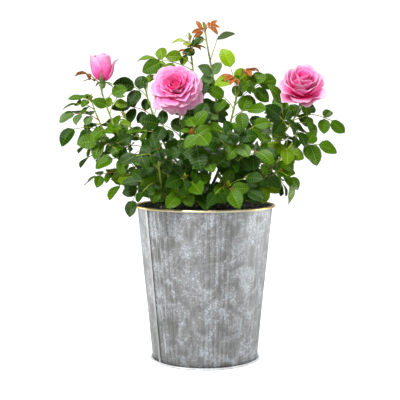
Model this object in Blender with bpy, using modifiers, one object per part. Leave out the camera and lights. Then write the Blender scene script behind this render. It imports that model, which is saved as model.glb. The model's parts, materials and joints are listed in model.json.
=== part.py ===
"""Potted rose bush: canes, leaf sprays, two open blooms and a bud in a ribbed zinc pot.

Metres, +Z up. The origin is the centre of the pot's flat underside and the plant's front faces -Y.
Canes spring from a short rootstock in the soil. Each carries one spray of pinnate leaves, fused
from its stem, leaf stalks and leaflets, and three of the sprays carry a flower.
"""

import math
import random
from collections import namedtuple

import bmesh
import bpy
import numpy as np
from mathutils import Matrix, Quaternion, Vector
from mathutils.bvhtree import BVHTree

MM = 0.001
CLEAR = 0.3 * MM  # gap between two pieces that touch
UP = Vector((0.0, 0.0, 1.0))
FRONT = Vector((0.0, -1.0, 0.0))

# Pot
POT_HEIGHT = 225 * MM
WALL_TOP_RADIUS = 97.7 * MM
WALL_FOOT_RADIUS = 74.2 * MM
WALL_THICKNESS = 0.9 * MM
RIB_COUNT = 72
RIB_DEPTH = 0.5 * MM
RIM_BEAD = 1.75 * MM  # radius of the rolled rim
FOOT_BEAD = 1.15 * MM
BOTTOM_THICKNESS = 1.2 * MM
SEAM_WIDTH = 7.0 * MM
SEAM_THICKNESS = 0.6 * MM
SEAM_HEADING = math.radians(-146.8)  # from +X, on the left of the front
SOIL_EDGE = 218 * MM  # height of the soil at the wall
SOIL_DOME = 5 * MM  # how much higher it lies in the middle

# Rootstock
STOCK_RADIUS = 14 * MM
STOCK_LIFT = 8 * MM  # its centre above the soil

# Leaves
DIVERGENCE = math.radians(137.5)  # between one leaf and the next round a stem
LEAF_WIDTH = 0.80  # of a leaflet's length
KITE_WIDTH = 0.88
BLADE_THICKNESS = 0.9 * MM
STALK_RADIUS = 0.80 * MM
STEM_RADIUS = 1.5 * MM
STRAIGHT_END = 2.5 * MM  # the straight piece of a limb where it meets the next
BREATHING = 0.7 * MM  # room left round each new leaf
LOWEST_LEAF = 226 * MM
TRIES = 7
FILL_SIZES = {1: (33, 39), 2: (27, 33)}  # of the end leaflet, in millimetres, by pairs of others
PAIR_PLACES = {0: (), 1: (0.62,), 2: (0.36, 0.80), 3: (0.26, 0.54, 0.82)}  # along the stalk
ROOT_ZONE = 3 * MM  # how far from their roots two leaflets of one leaf may run together

Cane = namedtuple("Cane", "name tip rise foot_radius parent at", defaults=(2.3, None, 0.0))
Leaf = namedtuple("Leaf", "at tip size pairs face arch", defaults=(2, "front", 0.16))
Spray = namedtuple("Spray", "name tip fill reach seed leaves pairs", defaults=((), 2))

# Gaps that show sky from the front: x, z and radius in millimetres.
WINDOWS = ((-53, 333, 9), (-66, 355, 8), (-76, 372, 7), (48, 362, 9), (12, 262, 6), (-34, 256, 6))

# Canes, in millimetres and degrees: where each ends, and how steeply it leaves the rootstock or
# the cane that it forks from.
CANES = (
    Cane("bud", (-114, -30, 306), 26),
    Cane("far_left", (-141, 2, 318), 60, 1.7, "bud", 0.80),
    Cane("left", (-88, -46, 290), 42, 2.0),
    Cane("low_left", (-84, -6, 262), 8, 1.8, "bud", 0.35),
    Cane("upper_left", (-72, 14, 342), 56, 2.2),
    Cane("centre", (-34, -30, 312), 58, 2.5),
    Cane("top_left", (-14, 10, 388), 88, 2.4),
    Cane("top", (14, 34, 398), 62, 2.4),
    Cane("upper_right", (36, -4, 340), 62, 2.4),
    Cane("right", (96, -5, 304), 36, 2.5),
    Cane("far_right", (100, -36, 286), 8, 1.8, "right", 0.45),
    Cane("low_right", (74, -24, 258), 10, 2.0),
    Cane("front", (-8, -60, 288), 44, 2.0),
    Cane("front_right", (36, -64, 282), 36, 2.0),
    Cane("low_front", (-14, -66, 252), 16, 2.0),
    Cane("front_left", (-60, -84, 252), 22, 1.8),
    Cane("low_front_right", (24, -62, 248), 16, 1.8),
    Cane("back_left", (-86, 60, 302), 40, 2.2),
    Cane("back", (-10, 78, 318), 50, 2.2),
    Cane("back_right", (80, 66, 300), 40, 2.2),
    Cane("low_back_left", (-44, 66, 252), 16, 2.0),
    Cane("low_back_right", (52, 70, 252), 16, 2.0),
)

# Sprays, in millimetres: where each stem ends, how many leaves the rule adds, how far they may
# reach from the stem, and the leaves that make the outline, each by where it leaves the stem,
# the point of its end leaflet and that leaflet's length.
SPRAYS = {
    "bud": Spray("bud", (-143.5, -25, 379), 2, 62, 25, (
        Leaf(0.62, (-187, 6, 406), 20, 1, "up", 0.04),
        Leaf(0.74, (-118, 14, 388), 24, 1),
        Leaf(0.45, (-122, 12, 352), 22, 1),
    )),
    "far_left": Spray("far_left", (-163, 0, 374), 2, 60, 38, (
        Leaf(0.97, (-199, 0, 373), 24, 2, "up"),
        Leaf(0.60, (-212, -10, 345), 26, 2, "up", 0.30),
        Leaf(0.10, (-206, -38, 305), 32, 1, "front", 0.50),
    )),
    "left": Spray("left", (-140, -46, 316), 3, 66, 1, (
        Leaf(0.95, (-178, -58, 314), 32, 1),
        Leaf(0.55, (-184, -12, 283), 29, 1, "side"),
        Leaf(0.20, (-154, -66, 284), 29, 1),
    )),
    "low_left": Spray("low_left", (-126, -12, 273), 4, 74, 97, (
        Leaf(0.90, (-177, 0, 253), 24, 2, "up"),
        Leaf(0.35, (-138, -50, 242), 28, 1),
        Leaf(0.10, (-105, -77, 214), 27, 1),
        Leaf(0.60, (-111, -80, 260), 29, 1),
    ), pairs=1),
    "upper_left": Spray("upper_left", (-87, 20, 392), 3, 66, 1, (
        Leaf(0.80, (-131, 0, 402), 33, 1),
        Leaf(0.35, (-136, 2, 367), 29, 2),
        Leaf(0.97, (-70, 34, 418), 26, 0),
    )),
    "centre": Spray("centre", (-36, -34, 352), 4, 74, 73, (
        Leaf(0.40, (-92, -52, 346), 30, 2),
        Leaf(0.60, (6, -62, 352), 30, 2),
    )),
    "top_left": Spray("top_left", (-22, 20, 462), 3, 66, 82, (
        Leaf(0.52, (-101, 10, 436), 30, 3, "front", 0.10),
        Leaf(0.88, (-49, 10, 457), 23, 1, "up", 0.36),
        Leaf(0.80, (-33, 0, 439), 18, 0, "up", 0.36),
        Leaf(0.86, (-4, 36, 450), 18, 0, "up", 0.36),
    )),
    "top": Spray("top", (0, 40, 478), 2, 66, 8, (
        Leaf(0.93, (-22, 34, 474), 18, 1, "front", 0.46),
        Leaf(0.97, (24, 38, 484), 17, 1, "front", 0.40),
        Leaf(0.55, (46, 38, 470), 30, 0, "back"),
        Leaf(0.30, (-6, 10, 424), 28, 1),
    )),
    "upper_right": Spray("upper_right", (51, -10, 409), 2, 66, 74, (
        Leaf(0.60, (30, 0, 451), 34, 1, "front", 0.10),
        Leaf(0.97, (80, -20, 412), 23, 1, "up", 0.36),
        Leaf(0.90, (26, -38, 402), 22, 0, "up", 0.30),
        Leaf(0.50, (107, 10, 407), 32, 2),
        Leaf(0.30, (84, -48, 362), 32, 1),
        Leaf(0.45, (4, -20, 392), 28, 2),
    )),
    "right": Spray("right", (128, -10, 351), 2, 70, 86, (
        Leaf(0.72, (86, -34, 366), 32, 1),
        Leaf(0.90, (201, -16, 322), 27, 2, "front", 0.40),
        Leaf(0.85, (98, 8, 380), 31, 1),
        Leaf(0.30, (104, -48, 328), 30, 1),
        Leaf(0.80, (158, 34, 366), 28, 1),
    )),
    "far_right": Spray("far_right", (128, -32, 322), 3, 70, 34, (
        Leaf(0.95, (160, -46, 281), 33, 0, "front", 0.36),
        Leaf(0.60, (114, -62, 287), 30, 1),
        Leaf(0.70, (185, -30, 295), 30, 1, "front", 0.20),
    )),
    "low_right": Spray("low_right", (104, -24, 274), 4, 74, 95, (
        Leaf(0.95, (125, -32, 222), 32, 1, "side", 0.36),
        Leaf(0.40, (92, -60, 231), 29, 1),
        Leaf(0.60, (76, -88, 258), 30, 1),
    ), pairs=1),
    "front": Spray("front", (-18, -92, 326), 4, 70, 13, (
        Leaf(0.85, (-7, -130, 281), 37, 2, "front", 0.30),
        Leaf(0.40, (-50, -106, 300), 29, 1),
    )),
    "front_right": Spray("front_right", (42, -88, 320), 4, 70, 61, (
        Leaf(0.98, (72, -92, 328), 32, 1),
        Leaf(0.80, (56, -118, 300), 32, 1),
        Leaf(0.60, (4, -116, 322), 31, 0),
        Leaf(0.35, (16, -122, 289), 30, 1),
    )),
    "low_front": Spray("low_front", (-26, -94, 268), 4, 66, 4, (
        Leaf(0.30, (-52, -112, 229), 30, 1),
        Leaf(0.90, (-51, -120, 262), 28, 1),
        Leaf(0.70, (-6, -120, 250), 31, 1),
        Leaf(0.20, (4, -108, 229), 29, 1),
    ), pairs=1),
    "front_left": Spray("front_left", (-63, -110, 306), 3, 62, 2, (
        Leaf(0.20, (-86, -108, 262), 29, 1),
        Leaf(0.70, (-34, -122, 306), 24, 1),
    )),
    "low_front_right": Spray("low_front_right", (30, -96, 258), 3, 64, 71, (
        Leaf(0.90, (44, -124, 232), 30, 1),
        Leaf(0.60, (20, -118, 272), 28, 1),
    ), pairs=1),
    "back_left": Spray("back_left", (-122, 84, 352), 5, 84, 17, pairs=1),
    "back": Spray("back", (-14, 118, 372), 5, 84, 18, pairs=1),
    "back_right": Spray("back_right", (112, 92, 348), 5, 84, 19, pairs=1),
    "low_back_left": Spray("low_back_left", (-70, 100, 272), 4, 78, 20, pairs=1),
    "low_back_right": Spray("low_back_right", (76, 104, 270), 4, 78, 22, pairs=1),
}


def srgb(red, green, blue):
    """A colour from its screen values, 0 to 255."""
    return tuple((value / 255) ** 2.2 for value in (red, green, blue)) + (1.0,)


def material(name, colour, roughness, metallic=0.0):
    made = bpy.data.materials.new(name)
    made.use_nodes = True
    made.diffuse_color = colour
    shader = made.node_tree.nodes["Principled BSDF"]
    shader.inputs["Base Color"].default_value = colour
    shader.inputs["Roughness"].default_value = roughness
    shader.inputs["Metallic"].default_value = metallic
    return made


# --------------------------------------------------------------------------- objects and meshes


def clear_scene():
    for old in list(bpy.data.objects):
        bpy.data.objects.remove(old, do_unlink=True)


def new_collection(name):
    made = bpy.data.collections.new(name)
    bpy.context.scene.collection.children.link(made)
    return made


def mesh_object(name, verts, faces, collection):
    mesh = bpy.data.meshes.new(name)
    mesh.from_pydata([tuple(v) for v in verts], [], faces)
    made = bpy.data.objects.new(name, mesh)
    collection.objects.link(made)
    return made


def bmesh_object(name, bm, collection):
    mesh = bpy.data.meshes.new(name)
    bmesh.ops.recalc_face_normals(bm, faces=bm.faces)
    bm.to_mesh(mesh)
    bm.free()
    made = bpy.data.objects.new(name, mesh)
    collection.objects.link(made)
    return made


def finish(ob, mat, smooth=True):
    ob.data.materials.clear()
    ob.data.materials.append(mat)
    if ob.type == "MESH":
        ob.data.shade_smooth() if smooth else ob.data.shade_flat()
    return ob


def keep_largest_shell(bm):
    """Drops loose scraps and fills sealed hollows: only the shell with the most faces stays."""
    unseen = set(bm.faces)
    shells = []
    while unseen:
        reached = {unseen.pop()}
        rim_of_search = list(reached)
        while rim_of_search:
            for edge in rim_of_search.pop().edges:
                fresh = [face for face in edge.link_faces if face not in reached]
                reached.update(fresh)
                rim_of_search.extend(fresh)
        unseen -= reached
        shells.append(reached)
    kept = max(shells, key=len)
    bmesh.ops.delete(bm, geom=[f for f in bm.faces if f not in kept], context="FACES")


def fuse(name, pieces, collection):
    """One closed body from closed meshes that run into each other."""
    others = bpy.data.collections.new(name + "_pieces")
    bpy.context.scene.collection.children.link(others)
    body = pieces[0]
    for piece in pieces[1:]:
        others.objects.link(piece)
        collection.objects.unlink(piece)
    union = body.modifiers.new("union", "BOOLEAN")
    union.operation = "UNION"
    union.operand_type = "COLLECTION"
    union.collection = others
    union.solver = "MANIFOLD"
    shape = body.evaluated_get(bpy.context.evaluated_depsgraph_get())
    joined = bpy.data.meshes.new_from_object(shape)
    body.modifiers.clear()
    for piece in pieces[1:]:
        bpy.data.objects.remove(piece, do_unlink=True)
    bpy.data.collections.remove(others)
    bm = bmesh.new()
    bm.from_mesh(joined)
    bmesh.ops.dissolve_limit(bm, angle_limit=math.radians(0.05), verts=bm.verts, edges=bm.edges)
    bmesh.ops.triangulate(bm, faces=bm.faces)
    keep_largest_shell(bm)
    bm.to_mesh(joined)
    bm.free()
    body.data = joined
    body.name = name
    joined.name = name
    return body


# --------------------------------------------------------------------------- curves and tubes


def bend(start, leaving, end, arriving, steps, pull=0.38):
    """Points along a smooth curve that leaves and arrives in the given directions."""
    reach = (end - start).length * pull
    near = start + leaving.normalized() * reach
    far = end - arriving.normalized() * reach
    points = []
    for step in range(steps + 1):
        t = step / steps
        u = 1 - t
        points.append(start * u**3 + near * 3 * u * u * t + far * 3 * u * t * t + end * t**3)
    return points


def taper(first, last, count):
    return [first + (last - first) * i / (count - 1) for i in range(count)]


def along(points, fraction):
    """The place and direction at a fraction of the way along some points."""
    place = fraction * (len(points) - 1)
    index = min(int(place), len(points) - 2)
    start, end = points[index], points[index + 1]
    return start.lerp(end, place - index), (end - start).normalized()


def across(direction, hint):
    """The part of a hint that is square to a direction."""
    left = hint - direction * hint.dot(direction)
    if left.length < 1e-6:
        left = direction.orthogonal()
    return left.normalized()


def across_part(vector, direction):
    return vector - direction * vector.dot(direction)


def tube(points, radii, sides=3):
    """Vertices and faces of a closed tube."""
    verts, faces = [], []
    side = across((points[1] - points[0]).normalized(), UP)
    for i, (point, radius) in enumerate(zip(points, radii)):
        before, after = points[max(i - 1, 0)], points[min(i + 1, len(points) - 1)]
        direction = (after - before).normalized()
        side = across(direction, side)
        third = direction.cross(side)
        for k in range(sides):
            angle = 2 * math.pi * k / sides
            verts.append(point + (side * math.cos(angle) + third * math.sin(angle)) * radius)
    for i in range(len(points) - 1):
        for k in range(sides):
            a, b = i * sides + k, i * sides + (k + 1) % sides
            faces.append((a, b, b + sides, a + sides))
    faces.append(tuple(reversed(range(sides))))
    faces.append(tuple(range(len(verts) - sides, len(verts))))
    return verts, faces


def leaflet(root, direction, normal, length, plain=False, puff=0.0):
    """Vertices and faces of one leaflet: a thin blade, thickest in the middle and sharp all round.

    A plain one has a kite's outline, and the others have shoulders too.
    """
    side = direction.cross(normal).normalized()
    under = normal * puff
    tip = root + direction * (length + puff)
    root = root - direction * puff
    middle = root + direction * length * 0.46 + normal * (BLADE_THICKNESS + puff)
    if plain:
        half = side * (length * KITE_WIDTH / 2 + puff)
        wide = root + direction * length * 0.46 - under
        rim = [root, wide + half, tip, wide - half]
        lower = [(1, 0, 3), (2, 1, 3)]
    else:
        half = side * (length * LEAF_WIDTH / 2 + puff)
        low = root + direction * length * 0.34 - under
        high = root + direction * length * 0.72 - under
        rim = [root, low + half, high + half * 0.78, tip, high - half * 0.78, low - half]
        lower = [(1, 0, 5), (1, 5, 4, 2), (2, 4, 3)]
    count = len(rim)
    faces = [(i, (i + 1) % count, count) for i in range(count)]
    return rim + [middle], faces + lower


def beyond_root(root, direction, normal, length, plain):
    """A leaflet without the part next to its stalk, where it may meet the others of its leaf."""
    return leaflet(root + direction * ROOT_ZONE, direction, normal, length - ROOT_ZONE, plain, 0.1 * MM)


# --------------------------------------------------------------------------- growth


class Crowd:
    """What already stands in the crown, to tell whether a new piece is clear of it."""

    def __init__(self):
        self.low, self.high, self.trees, self.owners = [], [], [], []

    def add(self, verts, faces, owner):
        points = np.array(verts)
        self.low.append(points.min(0))
        self.high.append(points.max(0))
        self.trees.append(BVHTree.FromPolygons(verts, faces))
        self.owners.append(owner)

    def blocker(self, verts, faces, ignore=()):
        """What a piece would touch, or None."""
        points = np.array(verts)
        low, high = np.array(self.low), np.array(self.high)
        near = ((low <= points.max(0)) & (high >= points.min(0))).all(1)
        tree = None
        for index in np.flatnonzero(near):
            if self.owners[index] in ignore:
                continue
            tree = tree or BVHTree.FromPolygons(verts, faces)
            if tree.overlap(self.trees[index]):
                return self.owners[index]
        return None


def outward(point):
    flat = Vector((point.x, point.y, 0.0))
    return flat.normalized() if flat.length > 0.02 else FRONT.copy()


FACES = {
    "front": lambda at: FRONT * 0.85 + UP * 0.45 + outward(at) * 0.15,
    "up": lambda at: UP + FRONT * 0.25,
    "side": lambda at: UP * 0.75 + outward(at) * 0.6 - FRONT * 0.1,
    "back": lambda at: UP * 0.8 - FRONT * 0.75,
    "sun": lambda at: outward(at) * 0.65 + UP * 0.60 + FRONT * (0.35 if at.y < 0.04 else 0.0),
}


def compound_leaf(root, tip, size, pairs, face, arch, wobble):
    """The stalk's points and the root, direction, normal, length and kind of each leaflet."""
    chord = tip - root
    run = chord.normalized()
    hint = FACES[face](tip)
    rise = across(run, UP)
    stalk_end = tip - run * size * 0.97 + rise * chord.length * arch * 0.5
    leaving = (run + rise * arch * 3.0).normalized()
    arriving = (run - rise * arch * 0.6).normalized()
    points = bend(root, leaving, stalk_end, arriving, max(pairs, 1) + (pairs == 1))
    last = (tip - stalk_end).normalized()
    blades = [(points[-1] - last * STALK_RADIUS * 2, last, size, False)]
    for pair in range(pairs):
        place, way = along(points, PAIR_PLACES[pairs][pair])
        sheet = across(way, hint)
        side = way.cross(sheet)
        share = 0.88 - 0.12 * (pairs - 1 - pair)
        for sign in (-1, 1):
            spread = math.radians(wobble.uniform(64, 80))
            aim = way * math.cos(spread) + side * sign * math.sin(spread) - UP * 0.15
            length = size * share * wobble.uniform(0.94, 1.04)
            blades.append((place, aim.normalized(), length, True))
    leaflets = []
    for place, aim, length, plain in blades:
        normal = across(aim, hint)
        normal.rotate(Quaternion(aim, math.radians(wobble.uniform(-18, 18))))
        leaflets.append((place, aim, normal, length, plain))
    return points, leaflets


def windows_blocked(verts):
    """True if a piece would close one of the gaps that show sky right through the bush."""
    for x, z, radius in WINDOWS:
        for vert in verts:
            if math.hypot(vert.x - x * MM, vert.z - z * MM) < radius * MM:
                return True
    return False


class Bush:
    """Grows every spray in turn, so that no leaf meets another or a limb."""

    def __init__(self, crowd, canes):
        self.crowd = crowd
        self.canes = canes
        self.pieces = {name: [] for name in SPRAYS}
        self.stems = {}

    def grow_stem(self, spray):
        cane = self.canes[spray.name]
        direction = cane.arriving
        start = cane.points[-1] + direction * CLEAR
        end = Vector(spray.tip) * MM
        points = [start] + bend(start + direction * STRAIGHT_END, direction, end,
                                (end - start).normalized() + UP * 0.3, 3)
        verts, faces = tube(points, taper(STEM_RADIUS, STEM_RADIUS * 0.6, 5))
        self.stems[spray.name] = points
        self.crowd.add(verts, faces, "stem " + spray.name)
        self.pieces[spray.name].append((verts, faces))

    def in_space(self, verts, stem, reach):
        ends = (stem[0], stem[len(stem) // 2], stem[-1])
        for vert in verts:
            if vert.z < LOWEST_LEAF or min((vert - end).length for end in ends) > reach:
                return False
        return True

    def grow_leaf(self, spray, root, tip, size, pairs, face, arch, wobble, free=False):
        """Adds one compound leaf where there is room. Returns how many leaflets it got."""
        owner = f"leaf {spray.name} {len(self.pieces[spray.name])}"
        ignore = (owner, "stem " + spray.name)
        points, blades = compound_leaf(root, tip, size, pairs, face, arch, wobble)
        stalk = tube(points, taper(STALK_RADIUS, STALK_RADIUS * 0.8, len(points)))
        if self.crowd.blocker(*stalk, ignore):
            return 0
        kept, siblings = [], []
        for blade in blades:
            sheet = BVHTree.FromPolygons(*beyond_root(*blade))
            if any(sheet.overlap(sibling) for sibling in siblings):
                blade = blade[:3] + (blade[3] * 0.8, blade[4])
                sheet = BVHTree.FromPolygons(*beyond_root(*blade))
            fat = leaflet(*blade, BREATHING)
            roomy = not self.crowd.blocker(*fat, ignore)
            roomy = roomy and not any(sheet.overlap(sibling) for sibling in siblings)
            if roomy and not free:
                roomy = self.in_space(fat[0], self.stems[spray.name], spray.reach * MM)
                roomy = roomy and not windows_blocked(fat[0])
            if roomy:
                kept.append(leaflet(*blade))
                siblings.append(sheet)
            elif not kept:
                return 0
        self.crowd.add(*stalk, owner)
        self.pieces[spray.name].append(stalk)
        for slim in kept:
            self.crowd.add(*slim, owner)
            self.pieces[spray.name].append(slim)
        return len(kept)

    def grow_outline(self, spray):
        wobble = random.Random(spray.seed)
        for leaf in spray.leaves:
            root, _ = along(self.stems[spray.name], leaf.at)
            tip = Vector(leaf.tip) * MM
            self.grow_leaf(spray, root, tip, leaf.size * MM, leaf.pairs, leaf.face, leaf.arch,
                           wobble, free=True)

    def fill(self, spray):
        wobble = random.Random(spray.seed * 101)
        stem = self.stems[spray.name]
        for k in range(spray.fill):
            root, run = along(stem, (k + 0.6) / spray.fill)
            for attempt in range(TRIES):
                turn = k * DIVERGENCE + spray.seed + attempt * math.radians(50)
                ring = across(run, UP)
                ring.rotate(Quaternion(run, turn))
                lean = math.radians(wobble.uniform(48, 78))
                way = run * math.cos(lean) + ring * math.sin(lean) + outward(root) * 0.25
                length = wobble.uniform(60, 78) * MM
                tip = root + way.normalized() * length - UP * length * 0.12
                size = wobble.uniform(*FILL_SIZES[spray.pairs]) * MM
                if self.grow_leaf(spray, root, tip, size, spray.pairs, "sun", 0.18, wobble) > 2:
                    break


# --------------------------------------------------------------------------- pot


def wall_radius(height):
    """The wall's outer radius over its ribs."""
    return WALL_FOOT_RADIUS + (WALL_TOP_RADIUS - WALL_FOOT_RADIUS) * height / POT_HEIGHT


def make_wall(parts, zinc):
    bm = bmesh.new()
    bmesh.ops.create_circle(bm, segments=2 * RIB_COUNT, radius=1.0)
    lower = list(bm.verts)
    grown = bmesh.ops.extrude_edge_only(bm, edges=bm.edges)["geom"]
    upper = [g for g in grown if isinstance(g, bmesh.types.BMVert)]
    for ring, height in ((lower, 0.0), (upper, POT_HEIGHT - RIM_BEAD)):
        for vert in ring:
            angle = math.atan2(vert.co.y, vert.co.x)
            in_groove = round(angle / math.pi * RIB_COUNT) % 2
            radius = wall_radius(height) - RIB_DEPTH * in_groove
            vert.co = Vector((math.cos(angle) * radius, math.sin(angle) * radius, height))
    wall = bmesh_object("pot_wall", bm, parts)
    shell = wall.modifiers.new("sheet", "SOLIDIFY")
    shell.thickness = WALL_THICKNESS
    shell.offset = -1.0
    return finish(wall, zinc, smooth=False)


def make_ring(name, radius, bead, height, segments, mat, parts):
    bpy.ops.mesh.primitive_torus_add(
        major_radius=radius, minor_radius=bead, major_segments=segments, minor_segments=6,
        location=(0.0, 0.0, height))
    ring = bpy.context.object
    ring.name = name
    for owner in list(ring.users_collection):
        owner.objects.unlink(ring)
    parts.objects.link(ring)
    return finish(ring, mat)


def turned(name, profile, steps, mat, parts):
    """A solid of revolution. The profile is (radius, height) from the top centre outwards and down."""
    made = mesh_object(name, [(r, 0.0, z) for r, z in profile], [], parts)
    made.data.edges.add(len(profile) - 1)
    for i, edge in enumerate(made.data.edges):
        edge.vertices = (i, i + 1)
    screw = made.modifiers.new("turn", "SCREW")
    screw.steps = steps
    screw.render_steps = steps
    screw.use_merge_vertices = True
    screw.merge_threshold = 0.01 * MM
    return finish(made, mat)


def make_pot(parts, zinc, brass, soil):
    make_wall(parts, zinc)
    inner = WALL_THICKNESS + RIB_DEPTH + 2 * CLEAR
    bottom_radius = WALL_FOOT_RADIUS - inner
    turned("pot_bottom", ((0.0, BOTTOM_THICKNESS), (bottom_radius, BOTTOM_THICKNESS),
                          (bottom_radius, 0.0), (0.0, 0.0)), 40, zinc, parts)
    make_ring("pot_rim", WALL_TOP_RADIUS + CLEAR + RIM_BEAD, RIM_BEAD, POT_HEIGHT - RIM_BEAD, 52,
              brass, parts)
    foot_height = FOOT_BEAD * math.cos(math.radians(30))
    make_ring("pot_foot", wall_radius(FOOT_BEAD) + CLEAR + FOOT_BEAD, FOOT_BEAD, foot_height, 40,
              zinc, parts)
    low, high = 2 * FOOT_BEAD + CLEAR, POT_HEIGHT - 2 * RIM_BEAD - CLEAR
    middle = (low + high) / 2
    lean = math.atan2(WALL_TOP_RADIUS - WALL_FOOT_RADIUS, POT_HEIGHT)
    bpy.ops.mesh.primitive_cube_add(size=1.0)
    seam = bpy.context.object
    seam.name = "pot_seam"
    seam.data.transform(Matrix.Diagonal((SEAM_THICKNESS, SEAM_WIDTH, (high - low) / math.cos(lean), 1)))
    offset = wall_radius(middle) + CLEAR + SEAM_THICKNESS / 2 + 0.1 * MM
    seam.matrix_world = (
        Matrix.Rotation(SEAM_HEADING, 4, "Z")
        @ Matrix.Translation((offset, 0.0, middle))
        @ Matrix.Rotation(lean, 4, "Y")
    )
    for owner in list(seam.users_collection):
        owner.objects.unlink(seam)
    parts.objects.link(seam)
    finish(seam, zinc, smooth=False)
    floor = BOTTOM_THICKNESS + CLEAR
    turned("soil", ((0.0, SOIL_EDGE + SOIL_DOME), (WALL_FOOT_RADIUS * 0.6, SOIL_EDGE + SOIL_DOME * 0.7),
                    (wall_radius(SOIL_EDGE) - inner, SOIL_EDGE), (wall_radius(floor) - inner, floor),
                    (0.0, floor)), 36, soil, parts)


# --------------------------------------------------------------------------- rootstock and canes

STOCK_CENTRE = Vector((0.0, 0.0, SOIL_EDGE + SOIL_DOME + STOCK_LIFT))
GrownCane = namedtuple("GrownCane", "points radii arriving")


def make_rootstock(parts, bark):
    foot = SOIL_EDGE + SOIL_DOME + CLEAR
    arc = [math.radians(90 - 22.5 * i) for i in range(5)]
    profile = [(STOCK_RADIUS * math.cos(a), STOCK_CENTRE.z + STOCK_RADIUS * math.sin(a)) for a in arc]
    profile[0] = (0.0, profile[0][1])
    profile += [(STOCK_RADIUS * 0.94, foot), (0.0, foot)]
    return turned("rootstock", profile, 18, bark, parts)


def route_cane(cane, grown):
    """A cane's points and radii, from the rootstock or from beside the cane that it forks from."""
    tip = Vector(cane.tip) * MM
    arriving = (Vector(SPRAYS[cane.name].tip) * MM - tip).normalized()
    radius = cane.foot_radius * MM
    rise = math.radians(cane.rise)
    if cane.parent:
        start, run = along(grown[cane.parent].points, cane.at)
        flat = outward(tip - start)
        leaving = (flat * math.cos(rise) + UP * math.sin(rise)).normalized()
        away = across(run, leaving)
        slant = math.sqrt(1 - leaving.dot(away) ** 2)
        thick = grown[cane.parent].radii
        beside = thick[0] + (thick[-1] - thick[0]) * cane.at
        start = start + away * (beside + CLEAR + radius * slant)
    else:
        flat = outward(tip)
        leaving = flat * math.cos(rise) + UP * math.sin(rise)
        start = STOCK_CENTRE + leaving * (STOCK_RADIUS + CLEAR)
    points = bend(start, leaving, tip - arriving * STRAIGHT_END, arriving, 3) + [tip]
    return GrownCane(points, taper(radius, STEM_RADIUS, len(points)), arriving)


def make_cane(cane, route, bark, parts):
    curve = bpy.data.curves.new("cane_" + cane.name, "CURVE")
    curve.dimensions = "3D"
    curve.bevel_depth = 1.0
    curve.bevel_resolution = 1
    curve.use_fill_caps = True
    line = curve.splines.new("POLY")
    line.points.add(len(route.points) - 1)
    for point, place, radius in zip(line.points, route.points, route.radii):
        point.co = (*place, 1.0)
        point.radius = radius
    made = bpy.data.objects.new("cane_" + cane.name, curve)
    parts.objects.link(made)
    return finish(made, bark)


# --------------------------------------------------------------------------- flowers

Flower = namedtuple(
    "Flower", "name carrier base facing petals length width opening curl cup heart seed")
# Sizes in millimetres and angles in degrees. Length, width, opening, curl and cup run from the
# innermost petal to the outermost one, and the heart is an egg of the given radius and half height.
FLOWERS = (
    Flower("bloom_centre", "centre", (-37, -46, 384), (0.04, -0.80, 0.60), 8, (35, 44), (32, 52),
           (16, 80), (-34, 34), (64, 30), (10, 15), 1),
    Flower("bloom_right", "right", (139, -14, 373), (0.06, -0.58, 0.82), 8, (42, 46), (30, 50),
           (14, 56), (-26, 8), (70, 46), (9, 19), 2),
    Flower("bud_left", "bud", (-144, -25, 394), (-0.03, -0.06, 1.0), 3, (48, 50), (40, 42),
           (84, 86), (-140, -146), (80, 80), (14, 19), 3),
)
HIP_RADIUS = 5.5 * MM
PETAL_THICKNESS = 1.3 * MM
PEDICEL_RADIUS = 1.4 * MM
SEPAL_LENGTH = 17 * MM


def petal_surface(place, length, width, opening, curl, cup, across_steps=2, along_steps=3):
    """A petal's grid in its own frame: x across, y outwards, z along the flower's axis."""
    grid = []
    step = length / along_steps
    for i in range(along_steps + 1):
        s = i / along_steps
        lean, next_lean = opening + curl * s, opening + curl * (s + 0.5 / along_steps)
        broad = width * (0.30 + 0.70 * math.sin(math.pi * min(s, 0.85) ** 0.8 / 1.7))
        broad *= 1.0 if s < 0.99 else 0.80
        row = []
        for k in range(across_steps + 1):
            t = 2 * k / across_steps - 1
            turn = t * cup
            inward = broad / 2 * (1 - math.cos(turn)) / max(cup, 0.01)
            sideways = broad / 2 * math.sin(turn) / max(cup, 0.01)
            normal = Vector((0.0, math.cos(lean), -math.sin(lean)))
            row.append(place + Vector((sideways, 0.0, 0.0)) - normal * inward)
        grid.append(row)
        place = place + Vector((0.0, math.sin(next_lean), math.cos(next_lean))) * step
    return grid


def flower_frame(facing):
    axis = Vector(facing).normalized()
    side = UP.cross(axis).normalized() if abs(axis.z) < 0.99 else Vector((1.0, 0.0, 0.0))
    return Matrix((side, axis.cross(side), axis)).transposed()


def make_petal(name, grid, frame, base, heading, parts):
    rows, columns = len(grid), len(grid[0])
    spin = Matrix.Rotation(heading, 3, "Z")
    verts = [base + frame @ (spin @ point) for row in grid for point in row]
    faces = [(i * columns + k, i * columns + k + 1, (i + 1) * columns + k + 1, (i + 1) * columns + k)
             for i in range(rows - 1) for k in range(columns - 1)]
    petal = mesh_object(name, verts, faces, parts)
    sheet = petal.modifiers.new("sheet", "SOLIDIFY")
    sheet.thickness = PETAL_THICKNESS
    sheet.offset = 0.0
    return petal


def make_ball(name, centre, radii, frame, parts, columns=8, rows=6):
    bm = bmesh.new()
    bmesh.ops.create_uvsphere(bm, u_segments=columns, v_segments=rows, radius=1.0)
    for vert in bm.verts:
        stretched = (vert.co.x * radii[0], vert.co.y * radii[0], vert.co.z * radii[1])
        vert.co = centre + frame @ Vector(stretched)
    return bmesh_object(name, bm, parts)


def mix(pair, share):
    return pair[0] + (pair[1] - pair[0]) * share


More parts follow.
